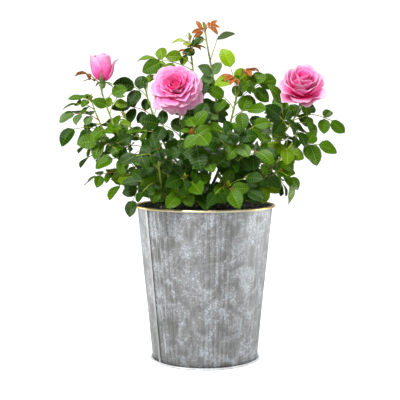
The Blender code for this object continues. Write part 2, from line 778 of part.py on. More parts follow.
def make_flower(flower, stem, parts, mat):
    frame = flower_frame(flower.facing)
    axis = frame @ UP
    base = Vector(flower.base) * MM
    wobble = random.Random(flower.seed)
    run = (stem[-1] - stem[-2]).normalized()
    start = stem[-1] + run * CLEAR
    route = [start] + bend(start + run * STRAIGHT_END, run, base, axis, 3)
    pieces = [mesh_object(flower.name, *tube(route, [PEDICEL_RADIUS] * 5, 5), parts)]
    hip_radii = (HIP_RADIUS, HIP_RADIUS * 1.5)
    pieces.append(make_ball("hip", base - axis * HIP_RADIUS * 0.3, hip_radii, frame, parts))
    for i in range(flower.petals):
        share = i / (flower.petals - 1)  # 0 is the innermost petal
        length, width = mix(flower.length, share) * MM, mix(flower.width, share) * MM
        angles = [math.radians(mix(pair, share)) for pair in (flower.opening, flower.curl, flower.cup)]
        seat = Vector((0.0, 0.6 + 2.6 * share, 1.2 - 2.4 * share)) * MM
        grid = petal_surface(seat, length, width, *angles)
        heading = i * DIVERGENCE + flower.seed
        pieces.append(make_petal("petal", grid, frame, base, heading, parts))
    heart = [value * MM for value in flower.heart]
    pieces.append(make_ball("heart", base + axis * heart[1] * 0.87, heart, frame, parts))
    for i in range(5):
        heading = i * 2 * math.pi / 5 + 0.9
        flat = frame @ Vector((math.cos(heading), math.sin(heading), 0.0))
        way = (flat - axis * wobble.uniform(0.1, 0.5)).normalized()
        normal = across(way, axis)
        root = base + flat * HIP_RADIUS * 0.5
        verts, faces = leaflet(root, way, normal, SEPAL_LENGTH, True)
        slim = [root + way * (v - root).dot(way) + across_part(v - root, way) * 0.45 for v in verts]
        pieces.append(mesh_object("sepal", slim, faces, parts))
    return finish(fuse(flower.name, pieces, parts), mat)


# --------------------------------------------------------------------------- the whole plant


def add_to_crowd(crowd, ob, owner):
    shape = ob.evaluated_get(bpy.context.evaluated_depsgraph_get())
    mesh = shape.to_mesh()
    verts = [ob.matrix_world @ v.co for v in mesh.vertices]
    faces = [tuple(p.vertices) for p in mesh.polygons]
    crowd.add(verts, faces, owner)
    shape.to_mesh_clear()


def main():
    clear_scene()
    parts = new_collection("rose_bush")
    zinc = material("zinc", srgb(160, 161, 160), 0.5, 0.6)
    brass = material("gilt_rim", srgb(214, 190, 128), 0.4, 0.6)
    soil = material("soil", srgb(38, 32, 26), 0.95)
    bark = material("cane_bark", srgb(86, 104, 34), 0.55)
    foliage = material("foliage", srgb(80, 112, 30), 0.5)
    petals = material("petals", srgb(241, 140, 189), 0.6)

    make_pot(parts, zinc, brass, soil)
    make_rootstock(parts, bark)
    grown = {}
    for cane in CANES:
        grown[cane.name] = route_cane(cane, grown)
        make_cane(cane, grown[cane.name], bark, parts)
    bpy.context.view_layer.update()
    crowd = Crowd()
    for ob in list(parts.objects):
        if ob.name.startswith("cane_"):
            route = grown[ob.name[5:]]
            verts, faces = tube(route.points, [r + CLEAR / 2 for r in route.radii], 6)
            crowd.add(verts, faces, ob.name)
        else:
            add_to_crowd(crowd, ob, ob.name)
    bush = Bush(crowd, grown)
    for spray in SPRAYS.values():
        bush.grow_stem(spray)
    for flower in FLOWERS:
        made = make_flower(flower, bush.stems[flower.carrier], parts, petals)
        add_to_crowd(crowd, made, flower.name)
    for spray in SPRAYS.values():
        bush.grow_outline(spray)
    for spray in SPRAYS.values():
        bush.fill(spray)
    count = 0
    for name, solids in bush.pieces.items():
        made = [mesh_object("leaves_" + name, *solid, parts) for solid in solids]
        count += sum(len(solid[0]) in (5, 7) for solid in solids)
        finish(fuse("leaves_" + name, made, parts), foliage, smooth=False)
    print("leaflets:", count)


main()
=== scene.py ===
# %% [markdown]
# # A patio rose in a ribbed zinc pot
# The object is a young rose bush with two open pink roses and one bud, planted in a tapered zinc
# pot. This lesson dresses it: every leaf, cane, petal and rib is built in mesh code over a packed
# model of its plain solids.
#
# The solids are loaded first and stay where they are. Each dressed piece rides on the body "root"
# and stands for the solids that it replaces, so the finished plant keeps the size, the reach and
# the gaps that the solids have.

# %% Load the frame
import json
import math
import random
from collections import namedtuple

import bmesh
import bpy
import numpy as np
from mathutils import Matrix, Quaternion, Vector, noise
from mathutils.bvhtree import BVHTree

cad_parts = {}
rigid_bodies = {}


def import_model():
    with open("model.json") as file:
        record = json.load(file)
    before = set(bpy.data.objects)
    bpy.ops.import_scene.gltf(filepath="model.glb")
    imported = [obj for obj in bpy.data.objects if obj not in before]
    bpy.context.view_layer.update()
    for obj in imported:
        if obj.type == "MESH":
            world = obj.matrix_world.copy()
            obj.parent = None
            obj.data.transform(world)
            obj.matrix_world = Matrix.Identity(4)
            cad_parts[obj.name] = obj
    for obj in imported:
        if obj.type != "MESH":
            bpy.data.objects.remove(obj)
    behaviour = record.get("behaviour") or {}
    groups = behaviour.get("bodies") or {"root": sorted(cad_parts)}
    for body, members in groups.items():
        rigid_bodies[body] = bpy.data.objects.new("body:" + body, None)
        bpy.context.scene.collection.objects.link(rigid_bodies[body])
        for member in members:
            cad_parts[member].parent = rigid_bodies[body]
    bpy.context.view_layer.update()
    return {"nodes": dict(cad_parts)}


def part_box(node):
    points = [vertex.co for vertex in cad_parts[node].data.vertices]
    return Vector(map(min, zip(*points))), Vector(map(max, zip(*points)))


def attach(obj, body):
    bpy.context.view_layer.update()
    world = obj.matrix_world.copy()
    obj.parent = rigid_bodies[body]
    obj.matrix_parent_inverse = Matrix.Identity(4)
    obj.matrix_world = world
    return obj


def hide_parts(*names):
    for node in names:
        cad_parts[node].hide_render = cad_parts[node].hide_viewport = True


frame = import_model()
NODES = frame["nodes"]
MM = 0.001
UP = Vector((0.0, 0.0, 1.0))
FRONT = Vector((0.0, -1.0, 0.0))

# %% [markdown]
# ## Camera
# A product picture of a plant is taken from a little above the pot's rim, with a long lens, so the
# pot's sides hardly converge. An 86 mm lens on a 36 mm sensor at 1.37 m does the same. The camera
# looks down by under five degrees: the rim shows as a thin ellipse with a line of soil in it.


# %% Set up the camera
def new_object(name, data):
    made = bpy.data.objects.new(name, data)
    bpy.context.scene.collection.objects.link(made)
    return made


CAMERA_PLACE = Vector((-0.0072, -1.3705, 0.3431))
CAMERA_TILT = 0.0820  # downwards, in radians
FOCAL_LENGTH, SENSOR_WIDTH = 85.68, 36.0  # in millimetres
lens = bpy.data.cameras.new("camera")
lens.lens = FOCAL_LENGTH
lens.sensor_width = SENSOR_WIDTH
lens.sensor_fit = "HORIZONTAL"
camera = new_object("camera", lens)
camera.location = CAMERA_PLACE
camera.rotation_euler = (math.pi / 2 - CAMERA_TILT, 0.0, 0.0)
bpy.context.scene.camera = camera
bpy.context.scene.view_settings.view_transform = "Standard"
print("camera at", tuple(round(x, 3) for x in camera.location))

# %% [markdown]
# ## Light
# Plants are pictured in a light tent. Seven soft lamps stand for it: a key from the upper left
# front, a weak fill from the right, one above that separates the leaves, a low one in front for the
# pot, one behind, and two narrow ones that graze the pot's sides. A large lamp gives each glossy
# leaf a broad pale sheen in place of a hard spark. The world is pale and weak, so that the inside
# of the bush stays dark, but the camera sees it as nearly white.


# %% Soft lamps and a pale surround
def soft_lamp(name, place, target, size, power, spread=180.0):
    """A round lamp that looks at its target, in metres and watts."""
    data = bpy.data.lights.new(name, "AREA")
    data.shape = "DISK"
    data.size = size
    data.energy = power
    data.spread = math.radians(spread)
    lamp = new_object(name, data)
    lamp.location = place
    lamp.rotation_mode = "QUATERNION"
    lamp.rotation_quaternion = (Vector(target) - Vector(place)).to_track_quat("-Z", "Y")


CROWN_CENTRE = (0.0, 0.0, 0.33)
POT_CENTRE = (0.0, 0.0, 0.09)
NARROW = 40.0  # degrees of spread
soft_lamp("key_lamp", (-0.9, -1.5, 1.6), CROWN_CENTRE, 0.6, 55.0)
soft_lamp("fill_lamp", (1.5, -1.2, 0.8), CROWN_CENTRE, 0.9, 5.0)
soft_lamp("top_lamp", (0.1, 0.2, 1.9), CROWN_CENTRE, 0.8, 22.0)
soft_lamp("front_lamp", (-0.2, -2.4, 0.35), CROWN_CENTRE, 1.0, 8.5)
soft_lamp("back_lamp", (0.6, 1.8, 1.2), CROWN_CENTRE, 1.2, 7.0)
soft_lamp("left_lamp", (-1.5, 0.8, 0.0), POT_CENTRE, 0.5, 1.0, NARROW)
soft_lamp("right_lamp", (1.5, 0.3, 0.0), POT_CENTRE, 0.5, 1.5, NARROW)

world = bpy.data.worlds.new("studio")
bpy.context.scene.world = world
world.use_nodes = True
sky = world.node_tree
lit = sky.nodes["Background"]
lit.inputs["Color"].default_value = (1.0, 1.0, 1.0, 1.0)
lit.inputs["Strength"].default_value = 0.11
seen = sky.nodes.new("ShaderNodeBackground")
seen.inputs["Color"].default_value = (0.985, 0.985, 0.985, 1.0)
seen.inputs["Strength"].default_value = 1.0
either = sky.nodes.new("ShaderNodeMixShader")
ray = sky.nodes.new("ShaderNodeLightPath")
sky.links.new(ray.outputs["Is Camera Ray"], either.inputs["Fac"])
sky.links.new(lit.outputs["Background"], either.inputs[1])
sky.links.new(seen.outputs["Background"], either.inputs[2])
sky.links.new(either.outputs["Shader"], sky.nodes["World Output"].inputs["Surface"])

# %% [markdown]
# ## Smooth curves and tubes
# Canes, stems and leaf stalks are all swept along smooth curves. A curve object with a bevel would
# do, but the relief of bark and the swelling at a leaf's foot need their own vertices, so the
# rings of each tube are laid by hand. The frame of each ring is carried on from the ring before it,
# which keeps a tube from twisting.


# %% Curves
PULL = 0.38  # how far a curve runs straight on from either end, as a share of its chord


def bend(start, leaving, end, arriving, steps):
    """Points along a smooth curve that leaves and arrives in the given directions."""
    reach = (end - start).length * PULL
    near = start + leaving.normalized() * reach
    far = end - arriving.normalized() * reach
    points = []
    for step in range(steps + 1):
        t = step / steps
        u = 1 - t
        points.append(start * u**3 + near * 3 * u * u * t + far * 3 * u * t * t + end * t**3)
    return points


def taper(first, last, count):
    return [first + (last - first) * i / (count - 1) for i in range(count)]


def along(points, fraction):
    """The place and direction at a fraction of the way along some points."""
    place = fraction * (len(points) - 1)
    index = min(int(place), len(points) - 2)
    start, end = points[index], points[index + 1]
    return start.lerp(end, place - index), (end - start).normalized()


def across(direction, hint):
    """The part of a hint that is square to a direction."""
    left = hint - direction * hint.dot(direction)
    if left.length < 1e-6:
        left = direction.orthogonal()
    return left.normalized()


def outward(point):
    """The level direction away from the plant's axis, or the front's close to it."""
    flat = Vector((point.x, point.y, 0.0))
    return flat.normalized() if flat.length > 20 * MM else FRONT.copy()


def smooth_line(points, step):
    """More points on a soft curve through some points, one every step of its length."""
    line = [points[0] * 2 - points[1], *points, points[-1] * 2 - points[-2]]
    made = []
    for a, b, c, d in zip(line, line[1:], line[2:], line[3:]):
        count = max(2, round((c - b).length / step))
        for i in range(count):
            t = i / count
            made.append(0.5 * (b * 2 + (c - a) * t + (a * 2 - b * 5 + c * 4 - d) * t * t
                               + (b * 3 - a - c * 3 + d) * t**3))
    return made + [points[-1].copy()]


# %% Rings and tubes
def ring_faces(rings, sides, first=0, inwards=False):
    """Quads that join each ring of vertices to the next. first is where the first ring starts."""
    faces = []
    for i in range(rings - 1):
        for k in range(sides):
            a, b = first + i * sides + k, first + i * sides + (k + 1) % sides
            faces.append((a, a + sides, b + sides, b) if inwards else (a, b, b + sides, a + sides))
    return faces


def level_ring(radius, height, steps, start=0.0):
    """Places round the plant's axis. start shifts them round, in steps."""
    angles = [2 * math.pi * (k + start) / steps for k in range(steps)]
    return [(radius * math.cos(angle), radius * math.sin(angle), height) for angle in angles]


def closed_tube_faces(rings, sides):
    """Quads between the rings of a tube and a cap at each end."""
    last = (rings - 1) * sides
    ends = [tuple(reversed(range(sides))), tuple(range(last, last + sides))]
    return ring_faces(rings, sides) + ends


def tube(points, radii, sides=3):
    """Vertices and faces of a closed tube."""
    verts = []
    side = across((points[1] - points[0]).normalized(), UP)
    for i, (point, radius) in enumerate(zip(points, radii)):
        before, after = points[max(i - 1, 0)], points[min(i + 1, len(points) - 1)]
        direction = (after - before).normalized()
        side = across(direction, side)
        third = direction.cross(side)
        for k in range(sides):
            angle = 2 * math.pi * k / sides
            verts.append(point + (side * math.cos(angle) + third * math.sin(angle)) * radius)
    return verts, closed_tube_faces(len(points), sides)


# %% [markdown]
# ## The plan of the plant
# A rose grows canes from its rootstock, and each cane ends in a spray of compound leaves. The plan
# names every cane by where it ends, and every spray by where its stem ends. Leaves that make the
# outline are placed one by one, since a bush is known by its outline. The rest grow by a rule.
#
# The plan is the one that the solids were grown from, with a few outline leaves added or moved by
# some millimetres. It says two things more, which only a finished leaf needs: its tint and its
# roll. Young rose leaves are bronze for their first week and then yellow-green, and they sit at
# the tips.

# %% Canes and sprays
Cane = namedtuple("Cane", "name tip rise foot_radius parent at", defaults=(2.3, None, 0.0))
Leaf = namedtuple("Leaf", "at tip size pairs face arch tint roll", defaults=(2, "front", 0.16, None, 0))
Spray = namedtuple("Spray", "name tip fill reach seed leaves", defaults=((),))

# Gaps that show sky from the front: x, z and radius in millimetres.
WINDOWS = ((-53, 333, 9), (-66, 355, 8), (-76, 372, 7), (48, 362, 9), (12, 262, 6), (-34, 256, 6))

# Canes, in millimetres and degrees: where each ends, and how steeply it leaves the rootstock or
# the cane that it forks from.
CANES = (
    Cane("bud", (-114, -30, 306), 26),
    Cane("far_left", (-141, 2, 318), 60, 1.7, "bud", 0.80),
    Cane("left", (-88, -46, 290), 42, 2.0),
    Cane("low_left", (-84, -6, 262), 8, 1.8, "bud", 0.35),
    Cane("upper_left", (-72, 14, 342), 56, 2.2),
    Cane("centre", (-34, -30, 312), 58, 2.5),
    Cane("top_left", (-14, 10, 388), 88, 2.4),
    Cane("top", (14, 34, 398), 62, 2.4),
    Cane("upper_right", (36, -4, 340), 62, 2.4),
    Cane("right", (96, -5, 304), 36, 2.5),
    Cane("far_right", (100, -36, 286), 8, 1.8, "right", 0.45),
    Cane("low_right", (74, -24, 258), 10, 2.0),
    Cane("front", (-8, -60, 288), 44, 2.0),
    Cane("front_right", (36, -64, 282), 36, 2.0),
    Cane("low_front", (-14, -66, 252), 16, 2.0),
    Cane("front_left", (-60, -84, 252), 22, 1.8),
    Cane("low_front_right", (24, -62, 248), 16, 1.8),
    Cane("back_left", (-86, 60, 302), 40, 2.2),
    Cane("back", (-10, 78, 318), 50, 2.2),
    Cane("back_right", (80, 66, 300), 40, 2.2),
    Cane("low_back_left", (-44, 66, 252), 16, 2.0),
    Cane("low_back_right", (52, 70, 252), 16, 2.0),
)

# Sprays, in millimetres: where each stem ends, how many leaves the rule adds, how far they may
# reach from the stem, the seed of their chances, and the leaves that make the outline. Each leaf
# says where it leaves the stem, where the point of its end leaflet is, how long that leaflet is
# and how many pairs stand behind it, then which way it faces, how much its stalk arches, its tint,
# and how far its end leaflet rolls about its midrib, in degrees.
SPRAY_PLAN = (
    Spray("bud", (-143.5, -25, 379), 2, 62, 25, (
        Leaf(0.97, (-190, 14, 411), 20, 1, "up", 0.40, "bronze"),
        Leaf(0.74, (-118, 14, 388), 24, 1),
        Leaf(0.45, (-122, 12, 352), 22, 1),
        Leaf(0.93, (-108, -30, 391), 25, 0, "front", 0.20, "green", 10),
        Leaf(0.80, (-158, -36, 374), 23, 0, "front", 0.30, "green"),
        Leaf(0.55, (-120, -40, 351), 25, 1, "front", 0.20, "green"),
    )),
    Spray("far_left", (-163, 0, 374), 2, 60, 38, (
        Leaf(0.97, (-199, 0, 378), 24, 2, "tilted"),
        Leaf(0.60, (-212, -10, 345), 26, 2, "tilted", 0.30),
        Leaf(0.10, (-210, -38, 309), 32, 1, "front", 0.50),
    )),
    Spray("left", (-140, -46, 316), 3, 66, 1, (
        Leaf(0.95, (-178, -58, 314), 32, 1),
        Leaf(0.55, (-184, -12, 283), 29, 1, "side"),
        Leaf(0.20, (-154, -66, 284), 29, 1),
    )),
    Spray("low_left", (-126, -12, 273), 4, 74, 97, (
        Leaf(0.90, (-177, 0, 253), 24, 2, "tilted"),
        Leaf(0.35, (-138, -50, 238), 28, 1, "front", 0.16, None, 50),
        Leaf(0.10, (-105, -77, 214), 27, 1),
        Leaf(0.60, (-111, -80, 260), 29, 1),
    )),
    Spray("upper_left", (-87, 20, 392), 3, 66, 1, (
        Leaf(0.80, (-131, 0, 402), 33, 1),
        Leaf(0.35, (-136, 2, 367), 29, 2),
        Leaf(0.97, (-70, 34, 418), 26, 0),
    )),
    Spray("centre", (-36, -34, 352), 4, 74, 73, (
        Leaf(0.40, (-92, -52, 346), 30, 2),
        Leaf(0.60, (6, -62, 352), 30, 2, tint="deep"),
        Leaf(0.20, (-60, -22, 304), 27, 0, "front", 0.20, "green"),
    )),
    Spray("top_left", (-22, 20, 462), 3, 66, 82, (
        Leaf(0.52, (-101, 10, 436), 30, 3, "front", 0.10, "fresh", 50),
        Leaf(0.88, (-49, 10, 461), 23, 1, "up", 0.36, "spring"),
        Leaf(0.80, (-33, 0, 439), 18, 0, "up", 0.36, "bronze"),
        Leaf(0.86, (-4, 36, 450), 18, 0, "up", 0.36, "bronze"),
        Leaf(0.36, (-96, 0, 411), 31, 0, "front", 0.50, "green", -20),
        Leaf(0.62, (-58, 4, 437), 25, 0, "front", 0.30, "fresh", -20),
    )),
    Spray("top", (0, 40, 478), 2, 66, 8, (
        Leaf(0.93, (-22, 34, 473), 17, 1, "front", 0.52, "bronze"),
        Leaf(0.97, (25, 38, 482), 16, 1, "front", 0.46, "bronze"),
        Leaf(0.55, (46, 38, 477), 30, 0, "back", 0.42, "grey", 42),
        Leaf(0.84, (-21, 44, 460), 21, 0, "front", 0.25, "grey"),
        Leaf(0.30, (-6, 10, 424), 28, 1),
    )),
    Spray("upper_right", (51, -10, 409), 2, 66, 74, (
        Leaf(0.60, (25, 0, 452), 34, 1, "front", 0.10, "bright"),
        Leaf(0.97, (80, -20, 417), 23, 1, "up", 0.44, "bronze"),
        Leaf(0.90, (26, -38, 402), 22, 0, "up", 0.30, "bronze"),
        Leaf(0.50, (107, 10, 407), 32, 2),
        Leaf(0.30, (84, -48, 362), 32, 1),
        Leaf(0.45, (4, -20, 392), 28, 2),
        Leaf(0.62, (60, -34, 398), 24, 0, "front", 0.20, "green"),
    )),
    Spray("right", (128, -10, 351), 2, 70, 86, (
        Leaf(0.72, (86, -34, 366), 32, 1),
        Leaf(0.90, (201, -16, 322), 27, 2, "front", 0.40, "green", 62),
        Leaf(0.85, (98, 8, 380), 31, 1),
        Leaf(0.30, (104, -48, 328), 30, 1),
        Leaf(0.80, (165, 30, 367), 28, 1),
        Leaf(0.66, (94, -26, 398), 33, 0, tint="green", roll=10),
        Leaf(0.86, (163, -12, 318), 27, 0, "front", 0.50, "green"),
    )),
    Spray("far_right", (128, -32, 322), 3, 70, 34, (
        Leaf(0.95, (160, -46, 281), 33, 0, "front", 0.36),
        Leaf(0.60, (114, -62, 287), 30, 1),
        Leaf(0.70, (189, -30, 301), 31, 1, "front", 0.20),
    )),
    Spray("low_right", (104, -24, 274), 4, 74, 95, (
        Leaf(0.95, (124, -32, 223), 34, 0, "side", 0.36, "fresh", 10),
        Leaf(0.40, (81, -60, 231), 29, 1),
        Leaf(0.80, (129, -30, 272), 28, 1, "front", 0.30, "green"),
        Leaf(0.60, (76, -88, 258), 30, 1),
    )),
    Spray("front", (-18, -92, 326), 4, 70, 13, (
        Leaf(0.85, (-7, -130, 281), 37, 2, "front", 0.30),
        Leaf(0.40, (-50, -106, 300), 29, 1),
    )),
    Spray("front_right", (42, -88, 320), 4, 70, 61, (
        Leaf(0.98, (72, -92, 328), 32, 1),
        Leaf(0.80, (56, -118, 300), 32, 1),
        Leaf(0.60, (2, -126, 326), 29, 0, tint="deep"),
        Leaf(0.35, (16, -122, 289), 30, 1),
    )),
    Spray("low_front", (-26, -94, 268), 4, 66, 4, (
        Leaf(0.30, (-52, -112, 229), 30, 1),
        Leaf(0.90, (-51, -120, 262), 28, 1),
        Leaf(0.70, (-6, -120, 250), 31, 1),
        Leaf(0.20, (4, -108, 229), 29, 1),
    )),
    Spray("front_left", (-63, -110, 306), 3, 62, 2, (
        Leaf(0.20, (-86, -108, 262), 29, 1),
        Leaf(0.70, (-34, -122, 306), 24, 1),
    )),
    Spray("low_front_right", (30, -96, 258), 3, 64, 71, (
        Leaf(0.90, (44, -124, 232), 30, 1),
        Leaf(0.60, (20, -118, 272), 28, 1),
    )),
    Spray("back_left", (-122, 84, 352), 5, 84, 17),
    Spray("back", (-14, 118, 372), 5, 84, 18),
    Spray("back_right", (112, 92, 348), 5, 84, 19),
    Spray("low_back_left", (-70, 100, 272), 4, 78, 20),
    Spray("low_back_right", (76, 104, 270), 4, 78, 22),
)
SPRAYS = {spray.name: spray for spray in SPRAY_PLAN}
print("leaves placed by hand:", sum(len(spray.leaves) for spray in SPRAY_PLAN))


# %% [markdown]
# ## Growing the leaves by the same rule
# The rule is the one that grew the solids. A leaf is tried as a plain blade on a plain stalk, and
# it stays only where it touches no limb, flower or other leaf, keeps within the reach of its spray
# and leaves the sky gaps open. Each try is a test of overlap between two small trees of triangles,
# which is quick enough for hundreds of leaves. These leaves are a little smaller than those of the
# solids, and the open sprays near the tips get fewer.

# %% Sizes that the rule needs
CLEAR = 0.3 * MM  # gap between two pieces that touch
DIVERGENCE = math.radians(137.5)  # between one leaf and the next round a stem
LEAF_WIDTH = 0.80  # of a leaflet's length
KITE_WIDTH = 0.88
BLADE_THICKNESS = 0.9 * MM
STALK_RADIUS = 0.80 * MM
STEM_RADIUS = 1.5 * MM
STRAIGHT_END = 2.5 * MM
BREATHING = 0.7 * MM  # room left round each new leaf
LOWEST_LEAF = 226 * MM
TRIES = 7
TRY_TURN = math.radians(50)  # round the stem from one try to the next
FILL_SIZES = (24, 31)  # of an end leaflet, in millimetres
FILL_STALKS = (60, 78)  # from the stem to the end leaflet's point, in millimetres
FILL_LEANS = (48, 78)  # between the stem and the leaf, in degrees
OPEN_SPRAYS = {"top": 0, "top_left": 1, "bud": 1, "far_left": 1, "upper_right": 1}  # leaves added
PAIR_PLACES = {0: (), 1: (0.62,), 2: (0.36, 0.80), 3: (0.26, 0.54, 0.82)}  # along the stalk
CROWDED_SHARE = 0.8  # of its length is left to a leaflet that meets another of its leaf
ROOT_ZONE = 3 * MM  # how far from their roots two leaflets of one leaf may run together
# Further gaps that the finished leaves keep open, as x, z and radius in millimetres.
ALL_WINDOWS = WINDOWS + (
    (-70, 348, 9), (-78, 362, 8), (-58, 362, 6), (-46, 318, 7), (48, 368, 10), (66, 368, 8),
    (14, 268, 5), (-28, 264, 5), (-44, 300, 4), (86, 392, 9), (-118, 376, 8), (-100, 372, 8),
    (140, 272, 12), (152, 282, 8), (104, 236, 8), (-132, 256, 8), (-145, 275, 6), (-113, 349, 7),
    (33, 390, 7), (23, 391, 6), (43, 391, 6), (75, 366, 7), (-92, 380, 7), (-3, 450, 7),
    (-145, 380, 4), (-143, 368, 4), (-140, 357, 4),
    (-109, 348, 9), (-151, 354, 6), (-144, 337, 5), (-98, 382, 8), (-81, 368, 5), (-95, 307, 6),
    (33, 387, 8), (46, 387, 7), (66, 362, 7), (81, 364, 7), (146, 320, 6),
    (97, 244, 8), (5, 266, 6), (-47, 291, 5), (150, 246, 9), (-65, 444, 6), (17, 453, 8),
)
STOCK_RADIUS = 14 * MM
STOCK_CENTRE = Vector((0.0, 0.0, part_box("rootstock")[1].z - STOCK_RADIUS))
print("rootstock centre at", round(STOCK_CENTRE.z / MM, 1), "mm")


# %% A leaf as the rule sees it
def test_leaflet(root, direction, normal, length, plain, puff=0.0):
    """A plain closed blade in a leaflet's place: a kite, or a six-sided one at a leaf's end."""
    side = direction.cross(normal).normalized()
    under = normal * puff
    tip = root + direction * (length + puff)
    root = root - direction * puff
    middle = root + direction * length * 0.46 + normal * (BLADE_THICKNESS + puff)
    if plain:
        half = side * (length * KITE_WIDTH / 2 + puff)
        wide = root + direction * length * 0.46 - under
        rim = [root, wide + half, tip, wide - half]
        lower = [(1, 0, 3), (2, 1, 3)]
    else:
        half = side * (length * LEAF_WIDTH / 2 + puff)
        low = root + direction * length * 0.34 - under
        high = root + direction * length * 0.72 - under
        rim = [root, low + half, high + half * 0.78, tip, high - half * 0.78, low - half]
        lower = [(1, 0, 5), (1, 5, 4, 2), (2, 4, 3)]
    count = len(rim)
    faces = [(i, (i + 1) % count, count) for i in range(count)]
    return rim + [middle], faces + lower


def beyond_root(root, direction, normal, length, plain):
    """A leaflet without the part next to its stalk, where it may meet the others of its leaf."""
    return test_leaflet(root + direction * ROOT_ZONE, direction, normal, length - ROOT_ZONE, plain,
                        0.1 * MM)


# Which way a leaf looks that ends at a place.
FACES = {
    "front": lambda at: FRONT * 0.85 + UP * 0.45 + outward(at) * 0.15,
    "up": lambda at: UP + FRONT * 0.25,
    "tilted": lambda at: UP * 0.85 + FRONT * 0.55,
    "side": lambda at: UP * 0.75 + outward(at) * 0.6 - FRONT * 0.1,
    "back": lambda at: UP * 0.8 - FRONT * 0.75,
    "sun": lambda at: outward(at) * 0.65 + UP * 0.60 + FRONT * (0.35 if at.y < 0.04 else 0.0),
}


def compound_leaf(root, tip, size, pairs, face, arch, wobble):
    """The stalk's points and the root, direction, normal, length and kind of each leaflet."""
    chord = tip - root
    run = chord.normalized()
    hint = FACES[face](tip)
    rise = across(run, UP)
    stalk_end = tip - run * size * 0.97 + rise * chord.length * arch * 0.5
    leaving = (run + rise * arch * 3.0).normalized()
    arriving = (run - rise * arch * 0.6).normalized()
    points = bend(root, leaving, stalk_end, arriving, max(pairs, 1) + (pairs == 1))
    last = (tip - stalk_end).normalized()
    blades = [(points[-1] - last * STALK_RADIUS * 2, last, size, False)]
    for pair in range(pairs):
        place, way = along(points, PAIR_PLACES[pairs][pair])
        sheet = across(way, hint)
        side = way.cross(sheet)
        share = 0.88 - 0.12 * (pairs - 1 - pair)
        for sign in (-1, 1):
            spread = math.radians(wobble.uniform(64, 80))
            aim = way * math.cos(spread) + side * sign * math.sin(spread) - UP * 0.15
            length = size * share * wobble.uniform(0.94, 1.04)
            blades.append((place, aim.normalized(), length, True))
    leaflets = []
    for place, aim, length, plain in blades:
        normal = across(aim, hint)
        normal.rotate(Quaternion(aim, math.radians(wobble.uniform(-18, 18))))
        leaflets.append((place, aim, normal, length, plain))
    return points, leaflets


# %% What already stands in the crown
class Crowd:
    """Each piece that stands in the crown, as a tree of triangles with its owner."""

    def __init__(self):
        self.low, self.high, self.trees, self.owners = [], [], [], []

    def add(self, verts, faces, owner):
        points = np.array(verts)
        self.low.append(points.min(0))
        self.high.append(points.max(0))
        self.trees.append(BVHTree.FromPolygons(verts, faces))
        self.owners.append(owner)

    def blocker(self, verts, faces, ignore):
        """What a piece would touch, or None."""
        points = np.array(verts)
        low, high = np.array(self.low), np.array(self.high)
        near = ((low <= points.max(0)) & (high >= points.min(0))).all(1)
        tree = None
        for index in np.flatnonzero(near):
            if self.owners[index] in ignore:
                continue
            tree = tree or BVHTree.FromPolygons(verts, faces)
            if tree.overlap(self.trees[index]):
                return self.owners[index]
        return None


def windows_blocked(verts):
    for x, z, radius in ALL_WINDOWS:
        for vert in verts:
            if math.hypot(vert.x - x * MM, vert.z - z * MM) < radius * MM:
                return True
    return False


# %% Routes of the canes
GrownCane = namedtuple("GrownCane", "points radii arriving")


def route_cane(cane, grown):
    """A cane's points and radii, from the rootstock or from beside the cane that it forks from."""
    tip = Vector(cane.tip) * MM
    arriving = (Vector(SPRAYS[cane.name].tip) * MM - tip).normalized()
    radius = cane.foot_radius * MM
    rise = math.radians(cane.rise)
    if cane.parent:
        start, run = along(grown[cane.parent].points, cane.at)
        flat = outward(tip - start)
        leaving = (flat * math.cos(rise) + UP * math.sin(rise)).normalized()
        away = across(run, leaving)
        slant = math.sqrt(1 - leaving.dot(away) ** 2)
        thick = grown[cane.parent].radii
        beside = thick[0] + (thick[-1] - thick[0]) * cane.at
        start = start + away * (beside + CLEAR + radius * slant)
    else:
        flat = outward(tip)
        leaving = flat * math.cos(rise) + UP * math.sin(rise)
        start = STOCK_CENTRE + leaving * (STOCK_RADIUS + CLEAR)
    points = bend(start, leaving, tip - arriving * STRAIGHT_END, arriving, 3) + [tip]
    return GrownCane(points, taper(radius, STEM_RADIUS, len(points)), arriving)


cane_routes = {}
for cane in CANES:
    cane_routes[cane.name] = route_cane(cane, cane_routes)
print("canes routed:", len(cane_routes))

# %% The bush
GrownLeaf = namedtuple("GrownLeaf", "spray stalk blades tint roll")


def leaf_end(root, run, turn, wobble, leans, stalks, pull, drop):
    """Where a leaf ends that leaves a limb on one side, drawn outwards and down a little."""
    ring = across(run, UP)
    ring.rotate(Quaternion(run, turn))
    lean = math.radians(wobble.uniform(*leans))
    way = run * math.cos(lean) + ring * math.sin(lean) + outward(root) * pull
    length = wobble.uniform(*stalks) * MM
    return root + way.normalized() * length - UP * length * drop


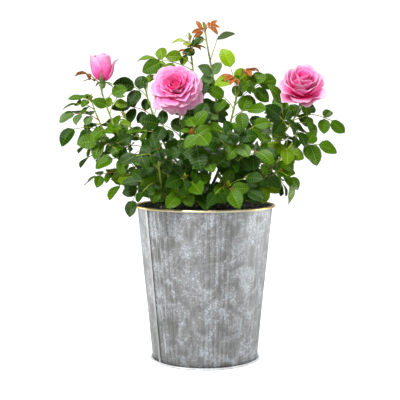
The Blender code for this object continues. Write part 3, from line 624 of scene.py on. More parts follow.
class Bush:
    """Grows every spray in turn, so that no leaf meets another or a limb."""

    def __init__(self, crowd):
        self.crowd = crowd
        self.stems = {}
        self.leaves = []

    def grow_stem(self, spray):
        cane = cane_routes[spray.name]
        direction = cane.arriving
        start = cane.points[-1] + direction * CLEAR
        end = Vector(spray.tip) * MM
        points = [start] + bend(start + direction * STRAIGHT_END, direction, end,
                                (end - start).normalized() + UP * 0.3, 3)
        verts, faces = tube(points, taper(STEM_RADIUS, STEM_RADIUS * 0.6, 5))
        self.stems[spray.name] = points
        self.crowd.add(verts, faces, "stem " + spray.name)

    def in_space(self, verts, stem, reach):
        ends = (stem[0], stem[len(stem) // 2], stem[-1])
        for vert in verts:
            if vert.z < LOWEST_LEAF or min((vert - end).length for end in ends) > reach:
                return False
        return True

    def grow_leaf(self, spray, root, tip, size, pairs, face, arch, wobble, tint=None, roll=0,
                  free=False, own=(), room=BREATHING, fewest=1):
        """Adds one compound leaf where there is room. Returns how many leaflets it got.

        A free leaf, one listed in the plan, may leave its spray's reach and cross the sky gaps. Any leaf
        may touch its own pieces, and needs the fewest leaflets to stay.
        """
        owner = f"leaf {len(self.leaves)}"
        ignore = (owner, "stem " + spray.name, *own)
        points, blades = compound_leaf(root, tip, size, pairs, face, arch, wobble)
        stalk = tube(points, taper(STALK_RADIUS, STALK_RADIUS * 0.8, len(points)))
        if not free and self.crowd.blocker(*stalk, ignore):
            return 0
        kept, siblings = [], []
        for blade in blades:
            sheet = BVHTree.FromPolygons(*beyond_root(*blade))
            if any(sheet.overlap(sibling) for sibling in siblings):
                blade = blade[:3] + (blade[3] * CROWDED_SHARE, blade[4])
                sheet = BVHTree.FromPolygons(*beyond_root(*blade))
            fat = test_leaflet(*blade, room)
            roomy = not self.crowd.blocker(*fat, ignore)
            roomy = roomy and not any(sheet.overlap(sibling) for sibling in siblings)
            if roomy and not free:
                roomy = self.in_space(fat[0], self.stems[spray.name], spray.reach * MM)
                roomy = roomy and not windows_blocked(fat[0])
            if roomy:
                kept.append(blade)
                siblings.append(sheet)
            elif not kept:
                return 0
        if len(kept) < fewest:
            return 0
        self.crowd.add(*stalk, owner)
        for blade in kept:
            self.crowd.add(*test_leaflet(*blade), owner)
        self.leaves.append(GrownLeaf(spray.name, points, kept, tint, roll if free else None))
        return len(kept)

    def grow_outline(self, spray):
        wobble = random.Random(spray.seed)
        for leaf in spray.leaves:
            root, _ = along(self.stems[spray.name], leaf.at)
            tip = Vector(leaf.tip) * MM
            got = self.grow_leaf(spray, root, tip, leaf.size * MM, leaf.pairs, leaf.face,
                                 leaf.arch, wobble, leaf.tint, leaf.roll, free=True)
            if not got:
                print("no room for the leaf of", spray.name, "that ends at", leaf.tip)

    def fill(self, spray, count):
        wobble = random.Random(spray.seed * 101)
        stem = self.stems[spray.name]
        for k in range(count):
            root, run = along(stem, (k + 0.6) / count)
            for attempt in range(TRIES):
                turn = k * DIVERGENCE + spray.seed + attempt * TRY_TURN
                tip = leaf_end(root, run, turn, wobble, FILL_LEANS, FILL_STALKS, pull=0.25, drop=0.12)
                size = wobble.uniform(*FILL_SIZES) * MM
                if self.grow_leaf(spray, root, tip, size, 2, "sun", 0.18, wobble) > 2:
                    break


# %% The first growth
def node_shape(name):
    mesh = NODES[name].data
    return [v.co.copy() for v in mesh.vertices], [tuple(p.vertices) for p in mesh.polygons]


crowd = Crowd()
for name in NODES:
    if not name.startswith(("cane_", "leaves_")):
        crowd.add(*node_shape(name), name)
for name, route in cane_routes.items():
    crowd.add(*tube(route.points, [r + CLEAR / 2 for r in route.radii], 6), "cane_" + name)
bush = Bush(crowd)
for spray in SPRAYS.values():
    bush.grow_stem(spray)
for spray in SPRAYS.values():
    bush.grow_outline(spray)
for spray in SPRAYS.values():
    bush.fill(spray, OPEN_SPRAYS.get(spray.name, spray.fill))
print("leaves:", len(bush.leaves), "leaflets:", sum(len(leaf.blades) for leaf in bush.leaves))

# %% [markdown]
# ## Finer leaves between them
# The solids carry fewer leaves than the bush, and larger ones, because each costs triangles that
# a collision model can't spare. The real bush has about twice as many. So the rule runs on: smaller
# leaves of three to five leaflets start from the upper part of the canes too, one after another by
# the same angle of divergence, with less room round them. They keep to the same reach and the same
# gaps, so the outline stays.

# %% The second growth
# The same sizes and turns as in the first growth, for finer leaves.
FINE_SIZES = (21, 28)
FINE_STALKS = (38, 62)
FINE_LEANS = (40, 84)
FINE_ROOM = 0.35 * MM
FINE_TRIES = 5
FINE_TURN = math.radians(67)
FEWEST_FINE = 3  # leaflets of a leaf that stays
FINE_FACES = ("sun", "sun", "up", "side", "front")
# Leaves tried for each spray: few near the tips, where the bush is open.
FINE_COUNTS = {
    "top": 2, "top_left": 3, "upper_right": 4, "bud": 5, "far_left": 5, "left": 8, "upper_left": 7,
    "right": 8, "far_right": 9, "low_left": 10, "low_right": 10, "back_left": 9, "back": 10,
    "back_right": 9, "low_back_left": 9, "low_back_right": 9,
}
MOST_FINE = 15


def grow_fine(spray):
    """Further leaves along a spray's stem and the upper part of its cane."""
    wobble = random.Random(spray.seed * 977 + 5)
    limb = cane_routes[spray.name].points[1:-1] + bush.stems[spray.name]
    count = FINE_COUNTS.get(spray.name, MOST_FINE)
    for k in range(count):
        root, run = along(limb, (k + 0.5) / count)
        for attempt in range(FINE_TRIES):
            turn = k * DIVERGENCE + attempt * FINE_TURN
            tip = leaf_end(root, run, turn, wobble, FINE_LEANS, FINE_STALKS, pull=0.2, drop=0.15)
            size = wobble.uniform(*FINE_SIZES) * MM
            face = wobble.choice(FINE_FACES)
            if bush.grow_leaf(spray, root, tip, size, 2, face, 0.2, wobble, fewest=FEWEST_FINE,
                              own=("cane_" + spray.name,), room=FINE_ROOM):
                break


for spray in SPRAYS.values():
    grow_fine(spray)
print("leaves:", len(bush.leaves), "leaflets:", sum(len(leaf.blades) for leaf in bush.leaves))

# %% [markdown]
# ## One pile of faces for many pieces
# Hundreds of leaves as hundreds of objects would be slow to handle, and instances are lost when a
# model is exported. So all leaves of one part of the crown go into one mesh: a pile keeps their
# vertices, faces and finishes as arrays and turns into a single object at the end.


# %% A pile of faces
class Pile:
    def __init__(self, finishes):
        self.finishes = finishes  # materials by name, in slot order
        self.slots = {name: i for i, name in enumerate(finishes)}
        self.verts, self.faces, self.kinds = [], [], []
        self.count = 0

    def add(self, verts, faces, kinds):
        """kinds is the name of a finish, or an array with a slot number for each face."""
        verts = np.asarray(verts, float).reshape(-1, 3)
        self.verts.append(verts)
        if isinstance(faces, np.ndarray):
            self.faces += (faces + self.count).tolist()
        else:
            self.faces += [tuple(i + self.count for i in face) for face in faces]
        if isinstance(kinds, str):
            kinds = np.full(len(faces), self.slots[kinds])
        self.kinds.append(np.asarray(kinds))
        self.count += len(verts)

    def build(self, name, smooth=True):
        mesh = bpy.data.meshes.new(name)
        mesh.from_pydata(np.concatenate(self.verts), [], self.faces)
        for finish in self.finishes.values():
            mesh.materials.append(finish)
        mesh.polygons.foreach_set("material_index", np.concatenate(self.kinds).astype(np.int32))
        mesh.polygons.foreach_set("use_smooth", np.full(len(mesh.polygons), smooth))
        mesh.update()
        triangles = sum(len(p.vertices) - 2 for p in mesh.polygons)
        print(f"{name}: {triangles} triangles")
        return new_object(name, mesh)


def dress(piece, nodes):
    """Fixes a finished piece to the frame, in place of some of its solids."""
    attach(piece, "root")
    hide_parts(*nodes)


# %% [markdown]
# ## Finishes for leaves
# A rose leaf is a deep glossy green above, with a paler midrib and veins, and a dull grey-green
# below. Young leaves are bronze, then yellow-green. Each of these is its own material with a plain
# base colour, because a colour that had to find its place on a mesh of many leaves would smear
# when the model is exported. What varies within a leaf is its gloss and its fine relief: a network
# of veinlets that a cell pattern gives, and a faint waxy bloom that dulls the gloss in patches.
# Both are in one node group, since every leaf material needs them.


# %% Colours and node helpers
def srgb(red, green, blue):
    """A colour from its screen values, 0 to 255."""
    return tuple((value / 255) ** 2.2 for value in (red, green, blue)) + (1.0,)


def new_group(name, inputs, outputs):
    """An empty node group with named sockets. Inputs are (name, kind, default)."""
    group = bpy.data.node_groups.new(name, "ShaderNodeTree")
    for label, kind, default in inputs:
        socket = group.interface.new_socket(label, in_out="INPUT", socket_type=kind)
        socket.default_value = default
    for label, kind in outputs:
        group.interface.new_socket(label, in_out="OUTPUT", socket_type=kind)
    return group, group.nodes.new("NodeGroupInput"), group.nodes.new("NodeGroupOutput")


def feed(tree, value, socket):
    """Gives a socket its value: another socket, a number or a colour."""
    if isinstance(value, bpy.types.NodeSocket):
        tree.links.new(value, socket)
    else:
        socket.default_value = value


def maths(tree, operation, *values):
    node = tree.nodes.new("ShaderNodeMath")
    node.operation = operation
    for socket, value in zip(node.inputs, values):
        feed(tree, value, socket)
    return node.outputs["Value"]


def times(tree, first, second):
    return maths(tree, "MULTIPLY", first, second)


def plus(tree, first, second):
    return maths(tree, "ADD", first, second)


def scaled_range(tree, value, low, high):
    """A value from 0 to 1 spread between two others."""
    node = tree.nodes.new("ShaderNodeMapRange")
    tree.links.new(value, node.inputs["Value"])
    feed(tree, low, node.inputs["To Min"])
    feed(tree, high, node.inputs["To Max"])
    return node.outputs["Result"]


def mixed(tree, amount, first, second):
    """A colour between two others."""
    mix = tree.nodes.new("ShaderNodeMix")
    mix.data_type = "RGBA"
    for label, value in (("Factor", amount), ("A", first), ("B", second)):
        feed(tree, value, mix.inputs[label])
    return mix.outputs["Result"]


def place_coordinates(tree):
    return tree.nodes.new("ShaderNodeTexCoord").outputs["Object"]


def noise_of(tree, vector, scale, detail=2.0, roughness=0.5, distortion=0.0):
    node = tree.nodes.new("ShaderNodeTexNoise")
    tree.links.new(vector, node.inputs["Vector"])
    feed(tree, scale, node.inputs["Scale"])
    node.inputs["Detail"].default_value = detail
    node.inputs["Roughness"].default_value = roughness
    node.inputs["Distortion"].default_value = distortion
    return node.outputs["Fac"]


# %% The veinlet group
def make_veinlets():
    group, inlet, outlet = new_group(
        "veinlets",
        (("Cells per metre", "NodeSocketFloat", 900.0), ("Dull", "NodeSocketFloat", 0.5),
         ("Glossy", "NodeSocketFloat", 0.3)),
        (("Height", "NodeSocketFloat"), ("Roughness", "NodeSocketFloat")))
    where = place_coordinates(group)
    cells = group.nodes.new("ShaderNodeTexVoronoi")
    cells.feature = "DISTANCE_TO_EDGE"
    group.links.new(where, cells.inputs["Vector"])
    group.links.new(inlet.outputs["Cells per metre"], cells.inputs["Scale"])
    blister = maths(group, "MINIMUM", cells.outputs["Distance"], 0.25)
    grain = noise_of(group, where, 2600.0)
    height = plus(group, times(group, blister, 3.0), grain)
    group.links.new(height, outlet.inputs["Height"])
    patches = noise_of(group, where, 60.0, 3.0)
    dullness = scaled_range(group, patches, inlet.outputs["Glossy"], inlet.outputs["Dull"])
    group.links.new(dullness, outlet.inputs["Roughness"])
    return group


VEINLETS = make_veinlets()


# %% Materials
def use_group(tree, group, **values):
    node = tree.nodes.new("ShaderNodeGroup")
    node.node_tree = group
    for label, value in values.items():
        node.inputs[label.replace("_", " ")].default_value = value
    return node


def bump_from(tree, height, shader, distance):
    bump = tree.nodes.new("ShaderNodeBump")
    bump.inputs["Distance"].default_value = distance
    tree.links.new(height, bump.inputs["Height"])
    tree.links.new(bump.outputs["Normal"], shader.inputs["Normal"])


def plain_material(name, colour):
    made = bpy.data.materials.new(name)
    made.use_nodes = True
    made.diffuse_color = colour
    shader = made.node_tree.nodes["Principled BSDF"]
    shader.inputs["Base Color"].default_value = colour
    return made, made.node_tree, shader


def leaf_material(name, colour, dull, glossy, relief, specular):
    """dull and glossy are the ends of its roughness, relief is in millimetres."""
    made, tree, shader = plain_material(name, colour)
    veinlets = use_group(tree, VEINLETS, Dull=dull, Glossy=glossy)
    tree.links.new(veinlets.outputs["Roughness"], shader.inputs["Roughness"])
    bump_from(tree, veinlets.outputs["Height"], shader, relief * MM)
    shader.inputs["Specular IOR Level"].default_value = specular
    return made


# %% Leaf finishes
# Each tint: its blade, its midrib and veins, and its underside.
TINTS = {
    "deep": (srgb(32, 62, 0), srgb(68, 98, 16), srgb(48, 76, 10)),
    "green": (srgb(62, 98, 0), srgb(100, 134, 24), srgb(70, 100, 18)),
    "fresh": (srgb(88, 120, 2), srgb(124, 152, 36), srgb(100, 128, 40)),
    "bright": (srgb(118, 152, 8), srgb(146, 174, 36), srgb(134, 162, 62)),
    "spring": (srgb(132, 146, 26), srgb(158, 164, 50), srgb(140, 150, 56)),
    "grey": (srgb(86, 114, 60), srgb(110, 138, 80), srgb(112, 138, 86)),
    "bronze": (srgb(150, 84, 26), srgb(168, 104, 44), srgb(176, 108, 50)),
}
leaf_finishes = {}
for tint, (blade, rib, under) in TINTS.items():
    leaf_finishes[tint + "_blade"] = leaf_material(
        f"leaf_{tint}", blade, dull=0.32, glossy=0.16, relief=0.10, specular=0.17)
    leaf_finishes[tint + "_rib"] = leaf_material(
        f"leaf_{tint}_rib", rib, dull=0.60, glossy=0.45, relief=0.05, specular=0.2)
    leaf_finishes[tint + "_under"] = leaf_material(
        f"leaf_{tint}_under", under, dull=0.85, glossy=0.70, relief=0.14, specular=0.15)
print("leaf finishes:", len(leaf_finishes))

# %% [markdown]
# ## One leaflet
# A rose leaflet is an oval with a drawn-out tip and a saw edge of a dozen or more teeth a side that
# point forwards. It is folded a little along the midrib, arches down towards its tip, and swells
# between side veins that lie in shallow furrows.
#
# It could be a flat card with a picture of a leaf, or a subdivided plane with a displacement. Here
# it is a grid whose rows run along the side veins, out and forwards from the midrib. So a vein is a
# narrow row of faces with its own paler finish, the swelling between veins is in the mesh, and
# every second row ends in a tooth. The underside is a second, coarser sheet a quarter of a
# millimetre below. All leaflets are worked out at once, as arrays.

# %% The grid of a leaflet
VEIN_PAIRS = 7
VEIN_HALF = 0.007  # of the leaflet's length
FIRST_VEIN, LAST_VEIN = 0.10, 0.84
SWEEP = 0.17  # how far forwards a side vein runs on its way to the margin
TOOTH_REACH, TOOTH_WIDTH, NOTCH_DEPTH = 0.016, 0.055, 0.045  # of the length and the half width
TOP_COLUMNS = (-1.0, -0.68, -0.34, -0.045, 0.045, 0.34, 0.68, 1.0)
UNDER_COLUMNS = (-1.0, -0.5, 0.0, 0.5, 1.0)


def leaflet_rows():
    """Where each row leaves the midrib, how deep its furrow is and whether a vein starts at it."""
    gap = (LAST_VEIN - FIRST_VEIN) / (VEIN_PAIRS - 1)
    rows = [(0.0, 0.0, False), (0.045, 0.6, False)]
    for vein in range(VEIN_PAIRS):
        place = FIRST_VEIN + vein * gap
        rows += [(place - VEIN_HALF, 0.0, True), (place + VEIN_HALF, 0.0, False),
                 (place + gap * 0.36, 0.9, False), (place + gap * 0.66, 0.9, False)]
    rows += [(0.955, 0.3, False), (1.0, 0.0, False)]
    return rows


def breadth(s):
    """Half a leaflet's width at a share of its length, 1 at the widest."""
    s = np.clip(s, 0.0, 1.0)
    oval = (s / 0.44) ** 0.60 * ((1.0 - s) / 0.56) ** 0.76
    return oval * (1 - 0.3 * np.exp(-(((1 - s) / 0.06) ** 2)))


ROWS = leaflet_rows()
row_start = np.array([row[0] for row in ROWS])
row_swell = np.array([row[1] for row in ROWS])


def sheet_grid(columns):
    """Share of the length, share of the half width and swelling at each vertex of a sheet."""
    t = np.array(columns)
    start = row_start[:, None]
    sweep = SWEEP * (1 - start) * np.clip(start / 0.10, 0, 1)
    s = start + sweep * np.abs(t)[None] ** 0.9
    margin = (np.abs(t) > 0.99)[None] * np.ones_like(start)
    tooth = (np.arange(len(ROWS)) % 2)[:, None] * margin * (start < 0.97) * (start > 0.02)
    s = np.clip(s + TOOTH_REACH * tooth, 0, 1)
    half = breadth(s) * t[None]
    half *= 1.0 + TOOTH_WIDTH * tooth - NOTCH_DEPTH * margin * (1 - tooth)
    swell = row_swell[:, None] * (1 - np.abs(t)[None] ** 2) * np.minimum(np.abs(t)[None] * 4, 1)
    return s, half, swell


def sheet_faces(rows, columns, flip, start):
    faces = []
    for i in range(rows - 1):
        for k in range(columns - 1):
            a = start + i * columns + k
            quad = (a, a + 1, a + columns + 1, a + columns)
            faces.append(tuple(reversed(quad)) if flip else quad)
    return faces


top_s, top_half, top_swell = sheet_grid(TOP_COLUMNS)
under_s, under_half, _ = sheet_grid(UNDER_COLUMNS)
top_count = top_s.size
LEAFLET_FACES = np.array(
    sheet_faces(len(ROWS), len(TOP_COLUMNS), True, 0)
    + sheet_faces(len(ROWS), len(UNDER_COLUMNS), False, top_count))
face_kinds = []
for i in range(len(ROWS) - 1):
    for k in range(len(TOP_COLUMNS) - 1):
        face_kinds.append(1 if ROWS[i][2] or k == len(TOP_COLUMNS) // 2 - 1 else 0)
face_kinds += [2] * ((len(ROWS) - 1) * (len(UNDER_COLUMNS) - 1))
LEAFLET_KINDS = np.array(face_kinds)  # 0 blade, 1 rib, 2 underside
GRID_S = np.concatenate([top_s.ravel(), under_s.ravel()])
GRID_X = np.concatenate([top_half.ravel(), under_half.ravel()])
GRID_SWELL = np.concatenate([top_swell.ravel(), np.zeros(under_s.size)])
GRID_T = np.concatenate([np.tile(np.abs(TOP_COLUMNS), len(ROWS)),
                         np.tile(np.abs(UNDER_COLUMNS), len(ROWS))])
GRID_UNDER = np.concatenate([np.zeros(top_count), np.ones(under_s.size)])
print("a leaflet:", len(GRID_S), "vertices,", 2 * len(LEAFLET_FACES), "triangles")


# %% A leaflet's pose and shape
def leaflet_verts(root, aim, normal, length, width, fold, droop, wave, phase, twist):
    """Vertices of one leaflet. fold, droop and twist are in radians, wave is in metres."""
    side = aim.cross(normal).normalized()
    x = GRID_X * width / 2
    side_sign = np.sign(x)
    # The blade bends down along an arc, so a point's height and reach follow from the angle there.
    angle = droop * GRID_S**1.5
    reach = length * GRID_S * (1 - angle**2 / 10)
    sink = -length * GRID_S * angle * 0.42
    lift = np.abs(x) * math.tan(fold) * (1 - 0.35 * GRID_T)
    lift += GRID_SWELL * 0.020 * length
    ripple = np.sin(GRID_S * 9.0 + phase + side_sign * 1.3) * wave * GRID_T**2
    turn = twist * GRID_S
    height = sink + lift + ripple + x * np.sin(turn)
    height -= GRID_UNDER * (0.22 * MM * (1 - GRID_T) + 0.02 * MM)
    x = x * math.cos(fold * 0.8)
    axes = np.array([side, aim, normal])
    return np.array(root) + np.outer(x, axes[0]) + np.outer(reach, axes[1]) + np.outer(height, axes[2])


# %% [markdown]
# ## Dealing out the tints
# A spray at the top or the edge of the bush is younger than one inside, so its leaves are brighter.
# The darker tints dealt to the inner and front sprays are partly painted shade for the inside of
# the bush.
# Within a spray each leaf gets its tint by a seeded draw, and a leaf's own leaflets share it.
# Bronze leaves are so young that their leaflets are slim, folded and still hang.

# %% Tints by spray
SPRAY_TINTS = {
    # The inner set's deep tints are partly painted shade for the inside of the bush.
    "inner": ("deep", "deep", "green", "deep", "green", "deep", "green", "green"),
    "outer": ("green", "deep", "green", "deep", "green", "fresh"),
    "tip": ("green", "fresh", "green", "grey", "deep"),
}
SPRAY_AGES = {
    "tip": ("bud", "far_left", "top"),
    "inner": ("front", "front_right", "front_left", "low_front", "low_front_right", "centre", "back",
              "back_left", "back_right"),
}


def tint_of(leaf, draw):
    if leaf.tint:
        return leaf.tint
    age = next((age for age, names in SPRAY_AGES.items() if leaf.spray in names), "outer")
    return draw.choice(SPRAY_TINTS[age])


# %% Building the foliage
WITH_FLOWERS = ("centre", "right", "bud")
CROWN_PARTS = {
    "left": ("bud", "far_left", "left", "low_left", "upper_left"),
    "centre": ("centre", "front", "front_left", "low_front", "top_left"),
    "right": ("right", "far_right", "low_right", "upper_right", "front_right", "low_front_right"),
    "back": ("back_left", "back", "back_right", "low_back_left", "low_back_right", "top"),
}


def bronze_leaflets(leaf, draw):
    """A young leaf in a finished leaf's place: five slim leaflets that still hang from its stalk."""
    root, aim, normal, length, _ = leaf.blades[0]
    made = [(root, aim, normal, length)]
    for place, share in ((0.90, 0.86), (0.62, 0.62)):
        at, way = along(leaf.stalk, place)
        side = way.cross(across(way, normal))
        for sign in (-1, 1):
            spread = math.radians(draw.uniform(30, 60))
            out = (way * math.cos(spread) + side * sign * math.sin(spread) - UP * 0.40).normalized()
            made.append((at, out, across(out, normal), length * share * draw.uniform(1.1, 1.3)))
    return made


def tip_leaflets(stem, draw):
    """The folded leaflets that still wrap the end of a growing stem."""
    at, run = along(stem, 1.0)
    made = []
    for k in range(4):
        ring = across(run, UP if abs(run.z) < 0.9 else FRONT)
        ring.rotate(Quaternion(run, k * DIVERGENCE))
        aim = (run + ring * draw.uniform(0.15, 0.5)).normalized()
        made.append((at - run * k * 1.6 * MM, aim, across(aim, -ring), draw.uniform(8, 13) * MM))
    return made


# %% Posing a leaflet
def add_leaflet(pile, blade, tint, draw, young, roll=None):
    """roll turns a leaflet about its midrib, in degrees. Without one it is drawn by chance."""
    root, aim, normal, length = blade[:4]
    normal = normal.copy()
    chance = draw.gauss(0, 15)
    normal.rotate(Quaternion(aim, math.radians(chance if roll is None else roll)))
    slim = draw.uniform(0.38, 0.50) if young else draw.uniform(0.64, 0.78)
    verts = leaflet_verts(
        root + aim * 1.0 * MM, aim, normal, length - 1.0 * MM, length * slim,
        fold=math.radians(draw.uniform(8, 20) + (16 if young else 0)),
        droop=math.radians(draw.uniform(14, 46)),
        wave=draw.uniform(0.2, 0.9) * MM * (0.5 if young else 1.0), phase=draw.uniform(0, 6.3),
        twist=math.radians(draw.uniform(-16, 16)))
    pile.add(verts, LEAFLET_FACES, LEAFLET_KINDS + pile.slots[tint + "_blade"])


# %% The crown, part by part
def build_foliage(part, sprays):
    """All leaves of one part of the crown, and the folded ones at its growing tips."""
    pile = Pile(leaf_finishes)
    draw = random.Random(part)
    for name in sprays:
        if name in WITH_FLOWERS:
            continue
        for blade in tip_leaflets(bush.stems[name], draw):
            add_leaflet(pile, blade, draw.choice(("bronze", "spring", "bright")), draw, True)
    for leaf in bush.leaves:
        if leaf.spray not in sprays:
            continue
        tint = tint_of(leaf, draw)
        young = leaf.tint == "bronze"
        for order, blade in enumerate(bronze_leaflets(leaf, draw) if young else leaf.blades):
            roll = leaf.roll if order == 0 or leaf.roll is None else 0
            add_leaflet(pile, blade, tint, draw, young, roll)
    dress(pile.build("foliage_" + part), ["leaves_" + name for name in sprays])


for part, sprays in CROWN_PARTS.items():
    build_foliage(part, sprays)

# %% [markdown]
# ## Canes, stems and leaf stalks
# A young rose cane is green-brown and nearly smooth, with low ridges, a slight swelling at each
# node and hooked prickles that point down. Above it the stems are yellow-green, and the stalks of
# young leaves are red. Each limb is a tube laid ring by ring along its route, with the ridges and
# swellings put into the radius of each vertex, so the relief is real at any distance.


# %% Finishes for limbs
def make_bark_grain():
    group, inlet, outlet = new_group(
        "bark_grain",
        (("Light", "NodeSocketColor", srgb(120, 140, 60)), ("Dark", "NodeSocketColor", srgb(60, 80, 30)),
         ("Grain per metre", "NodeSocketFloat", 260.0)),
        (("Colour", "NodeSocketColor"), ("Height", "NodeSocketFloat")))
    where = place_coordinates(group)
    stretch = group.nodes.new("ShaderNodeMapping")
    stretch.inputs["Scale"].default_value = (1.0, 1.0, 0.22)
    group.links.new(where, stretch.inputs["Vector"])
    streaks = noise_of(group, stretch.outputs["Vector"], inlet.outputs["Grain per metre"], 4.0, 0.6)
    share = scaled_range(group, streaks, -0.3, 1.3)
    colour = mixed(group, share, inlet.outputs["Dark"], inlet.outputs["Light"])
    group.links.new(colour, outlet.inputs["Colour"])
    group.links.new(streaks, outlet.inputs["Height"])
    return group


BARK_GRAIN = make_bark_grain()


# %% Bark for canes and stems
def limb_material(name, light, dark, roughness, relief):
    made, tree, shader = plain_material(name, light)
    grain = use_group(tree, BARK_GRAIN, Light=light, Dark=dark)
    tree.links.new(grain.outputs["Colour"], shader.inputs["Base Color"])
    shader.inputs["Roughness"].default_value = roughness
    bump_from(tree, grain.outputs["Height"], shader, relief * MM)
    return made


def stalk_material(name, colour):
    made, tree, shader = plain_material(name, colour)
    grain = use_group(tree, VEINLETS, Dull=0.6, Glossy=0.42)
    tree.links.new(grain.outputs["Roughness"], shader.inputs["Roughness"])
    bump_from(tree, grain.outputs["Height"], shader, 0.03 * MM)
    return made


LIMB_FINISHES = {
    "cane": limb_material("cane_bark", srgb(104, 118, 46), srgb(58, 62, 26), 0.55, 0.35),
    "stem": limb_material("green_stem", srgb(146, 162, 50), srgb(110, 132, 32), 0.48, 0.15),
    "prickle": limb_material("prickle", srgb(150, 104, 62), srgb(112, 66, 40), 0.5, 0.1),
}
STALK_FINISHES = {
    "stalk": stalk_material("leaf_stalk", srgb(138, 156, 48)),
    "young": stalk_material("young_stalk", srgb(158, 104, 62)),
}


# %% Limbs with relief
def limb_mesh(points, radii, sides, ridge, seed):
    """A tube whose rings carry low ridges and uneven swellings."""
    count = len(points)
    verts = []
    side = across((points[1] - points[0]).normalized(), UP)
    for i, point in enumerate(points):
        before, after = points[max(i - 1, 0)], points[min(i + 1, count - 1)]
        direction = (after - before).normalized()
        side = across(direction, side)
        third = direction.cross(side)
        base = radii(i / (count - 1))
        for k in range(sides):
            angle = 2 * math.pi * k / sides
            way = side * math.cos(angle) + third * math.sin(angle)
            rough = noise.noise((point + way * base) * 260 + Vector((seed, 0, 0)))
            low_ridges = math.cos(5 * angle + seed + i * 0.02)
            verts.append(point + way * base * (1 + ridge * (0.6 * low_ridges + 0.8 * rough)))
    return verts, closed_tube_faces(count, sides)


def swelling(places, height, spread):
    """A factor on a limb's radius with a soft bump at each node."""
    return lambda s: 1 + sum(height * math.exp(-((s - place) / spread) ** 2) for place in places)


# %% Prickles
PRICKLE_LENGTH = 3.4 * MM
PRICKLE_HOOK = 0.75  # how far the point lies down the cane, as a share of the length


def prickle_mesh(foot, out, back, length):
    """A hooked prickle: a flat cone with a long oval foot, bent back down the cane."""
    side = out.cross(back).normalized()
    verts = []
    rings, sides = 5, 6
    for i in range(rings):
        s = i / rings
        centre = foot + out * length * s + back * length * PRICKLE_HOOK * s * s
        long, broad = length * 0.42 * (1 - s) ** 1.3, length * 0.17 * (1 - s) ** 1.1
        for k in range(sides):
            angle = math.pi * k / 3
            verts.append(centre + back * math.cos(angle) * long + side * math.sin(angle) * broad)
    verts.append(foot + out * length + back * length * PRICKLE_HOOK)
    last, point = (rings - 1) * sides, rings * sides
    fan = [(last + k, last + (k + 1) % sides, point) for k in range(sides)]
    return verts, ring_faces(rings, sides) + fan


def add_prickles(pile, points, radii, draw, spacing):
    """Prickles about one spacing apart, up to just under the limb's tip."""
    run = sum((b - a).length for a, b in zip(points, points[1:]))
    for i in range(int(run / spacing)):
        s = (i + draw.uniform(0.2, 0.8)) * spacing / run
        if s > 0.95:
            continue
        place, way = along(points, s)
        out = across(way, UP if abs(way.z) < 0.9 else FRONT)
        out.rotate(Quaternion(way, draw.uniform(0, 2 * math.pi)))
        length = PRICKLE_LENGTH * draw.uniform(0.55, 1.0) * (1 - 0.4 * s)
        pile.add(*prickle_mesh(place + out * radii(s) * 0.8, out, -way, length), "prickle")


# %% The canes
LIMB_STEP, STALK_STEP = 1.8 * MM, 4.5 * MM  # from ring to ring
CANE_PRICKLES, STEM_PRICKLES = 14 * MM, 20 * MM  # from one to the next


def build_canes():
    pile = Pile(LIMB_FINISHES)
    draw = random.Random(11)
    for name, route in cane_routes.items():
        line = smooth_line(route.points, LIMB_STEP)
        nodes = swelling([0.3 + 0.2 * k for k in range(4)], 0.10, 0.02)
        foot, tip = route.radii[0], route.radii[-1]
        radii = lambda s, nodes=nodes, foot=foot, tip=tip: (foot + (tip - foot) * s) * nodes(s)
        pile.add(*limb_mesh(line, radii, 12, 0.07, draw.uniform(0, 9)), "cane")
        add_prickles(pile, line, radii, draw, CANE_PRICKLES)
        stem = smooth_line(bush.stems[name], LIMB_STEP)
        nodes = swelling([leaf.at for leaf in SPRAYS[name].leaves], 0.22, 0.03)
        radii = lambda s, nodes=nodes: STEM_RADIUS * (1 - 0.4 * s) * nodes(s)
        pile.add(*limb_mesh(stem, radii, 9, 0.05, draw.uniform(0, 9)), "stem")
        add_prickles(pile, stem, radii, draw, STEM_PRICKLES)
    dress(pile.build("canes"), ["cane_" + name for name in cane_routes])


build_canes()


# %% The leaf stalks
RED_SHARE = 0.12  # of the stalks of leaves that aren't bronze


def build_stalks():
    pile = Pile(STALK_FINISHES)
    draw = random.Random(5)
    for leaf in bush.leaves:
        kind = "young" if leaf.tint == "bronze" or draw.random() < RED_SHARE else "stalk"
        line = smooth_line(leaf.stalk, STALK_STEP)
        radii = lambda s: (0.74 - 0.22 * s + 0.55 * math.exp(-((s / 0.05) ** 2))) * MM
        pile.add(*limb_mesh(line, radii, 6, 0.04, 0.0), kind)
        for root, aim, *_ in leaf.blades:
            pile.add(*tube([root, root + aim * 1.4 * MM, root + aim * 4.0 * MM],
                           [0.42 * MM, 0.40 * MM, 0.16 * MM], 5), kind)
    piece = pile.build("leaf_stalks")
    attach(piece, "root")


build_stalks()

# %% [markdown]
# ## The roses
# An open rose of this kind has forty to sixty petals in whorls. The outer ones are broad, pale and
# bent back, the inner ones shorter, deeper in colour and packed round an eye. Each petal is narrow
# and thick at its foot, broad at its top, cupped like a spoon, and its rim rolls outwards and
# ruffles. The deep pink at the feet of the petals and in the inner whorls is partly the rose's own
# colour and partly painted shade, for the light caught between petals.
#
# A petal could be a bent plane with a solidify modifier. Here its grid is worked out directly, so
# that each whorl can have its own lean, cup, roll and ruffle, and each row of faces its own shade
# of pink. Twelve close shades make a smooth passage from foot to rim without any painted image.

# %% Pinks
PINK_STEPS = ((255, 0, 96), (252, 36, 130), (249, 78, 160), (244, 116, 180), (237, 150, 194),
              (235, 187, 208))
PINK_COUNT = 12


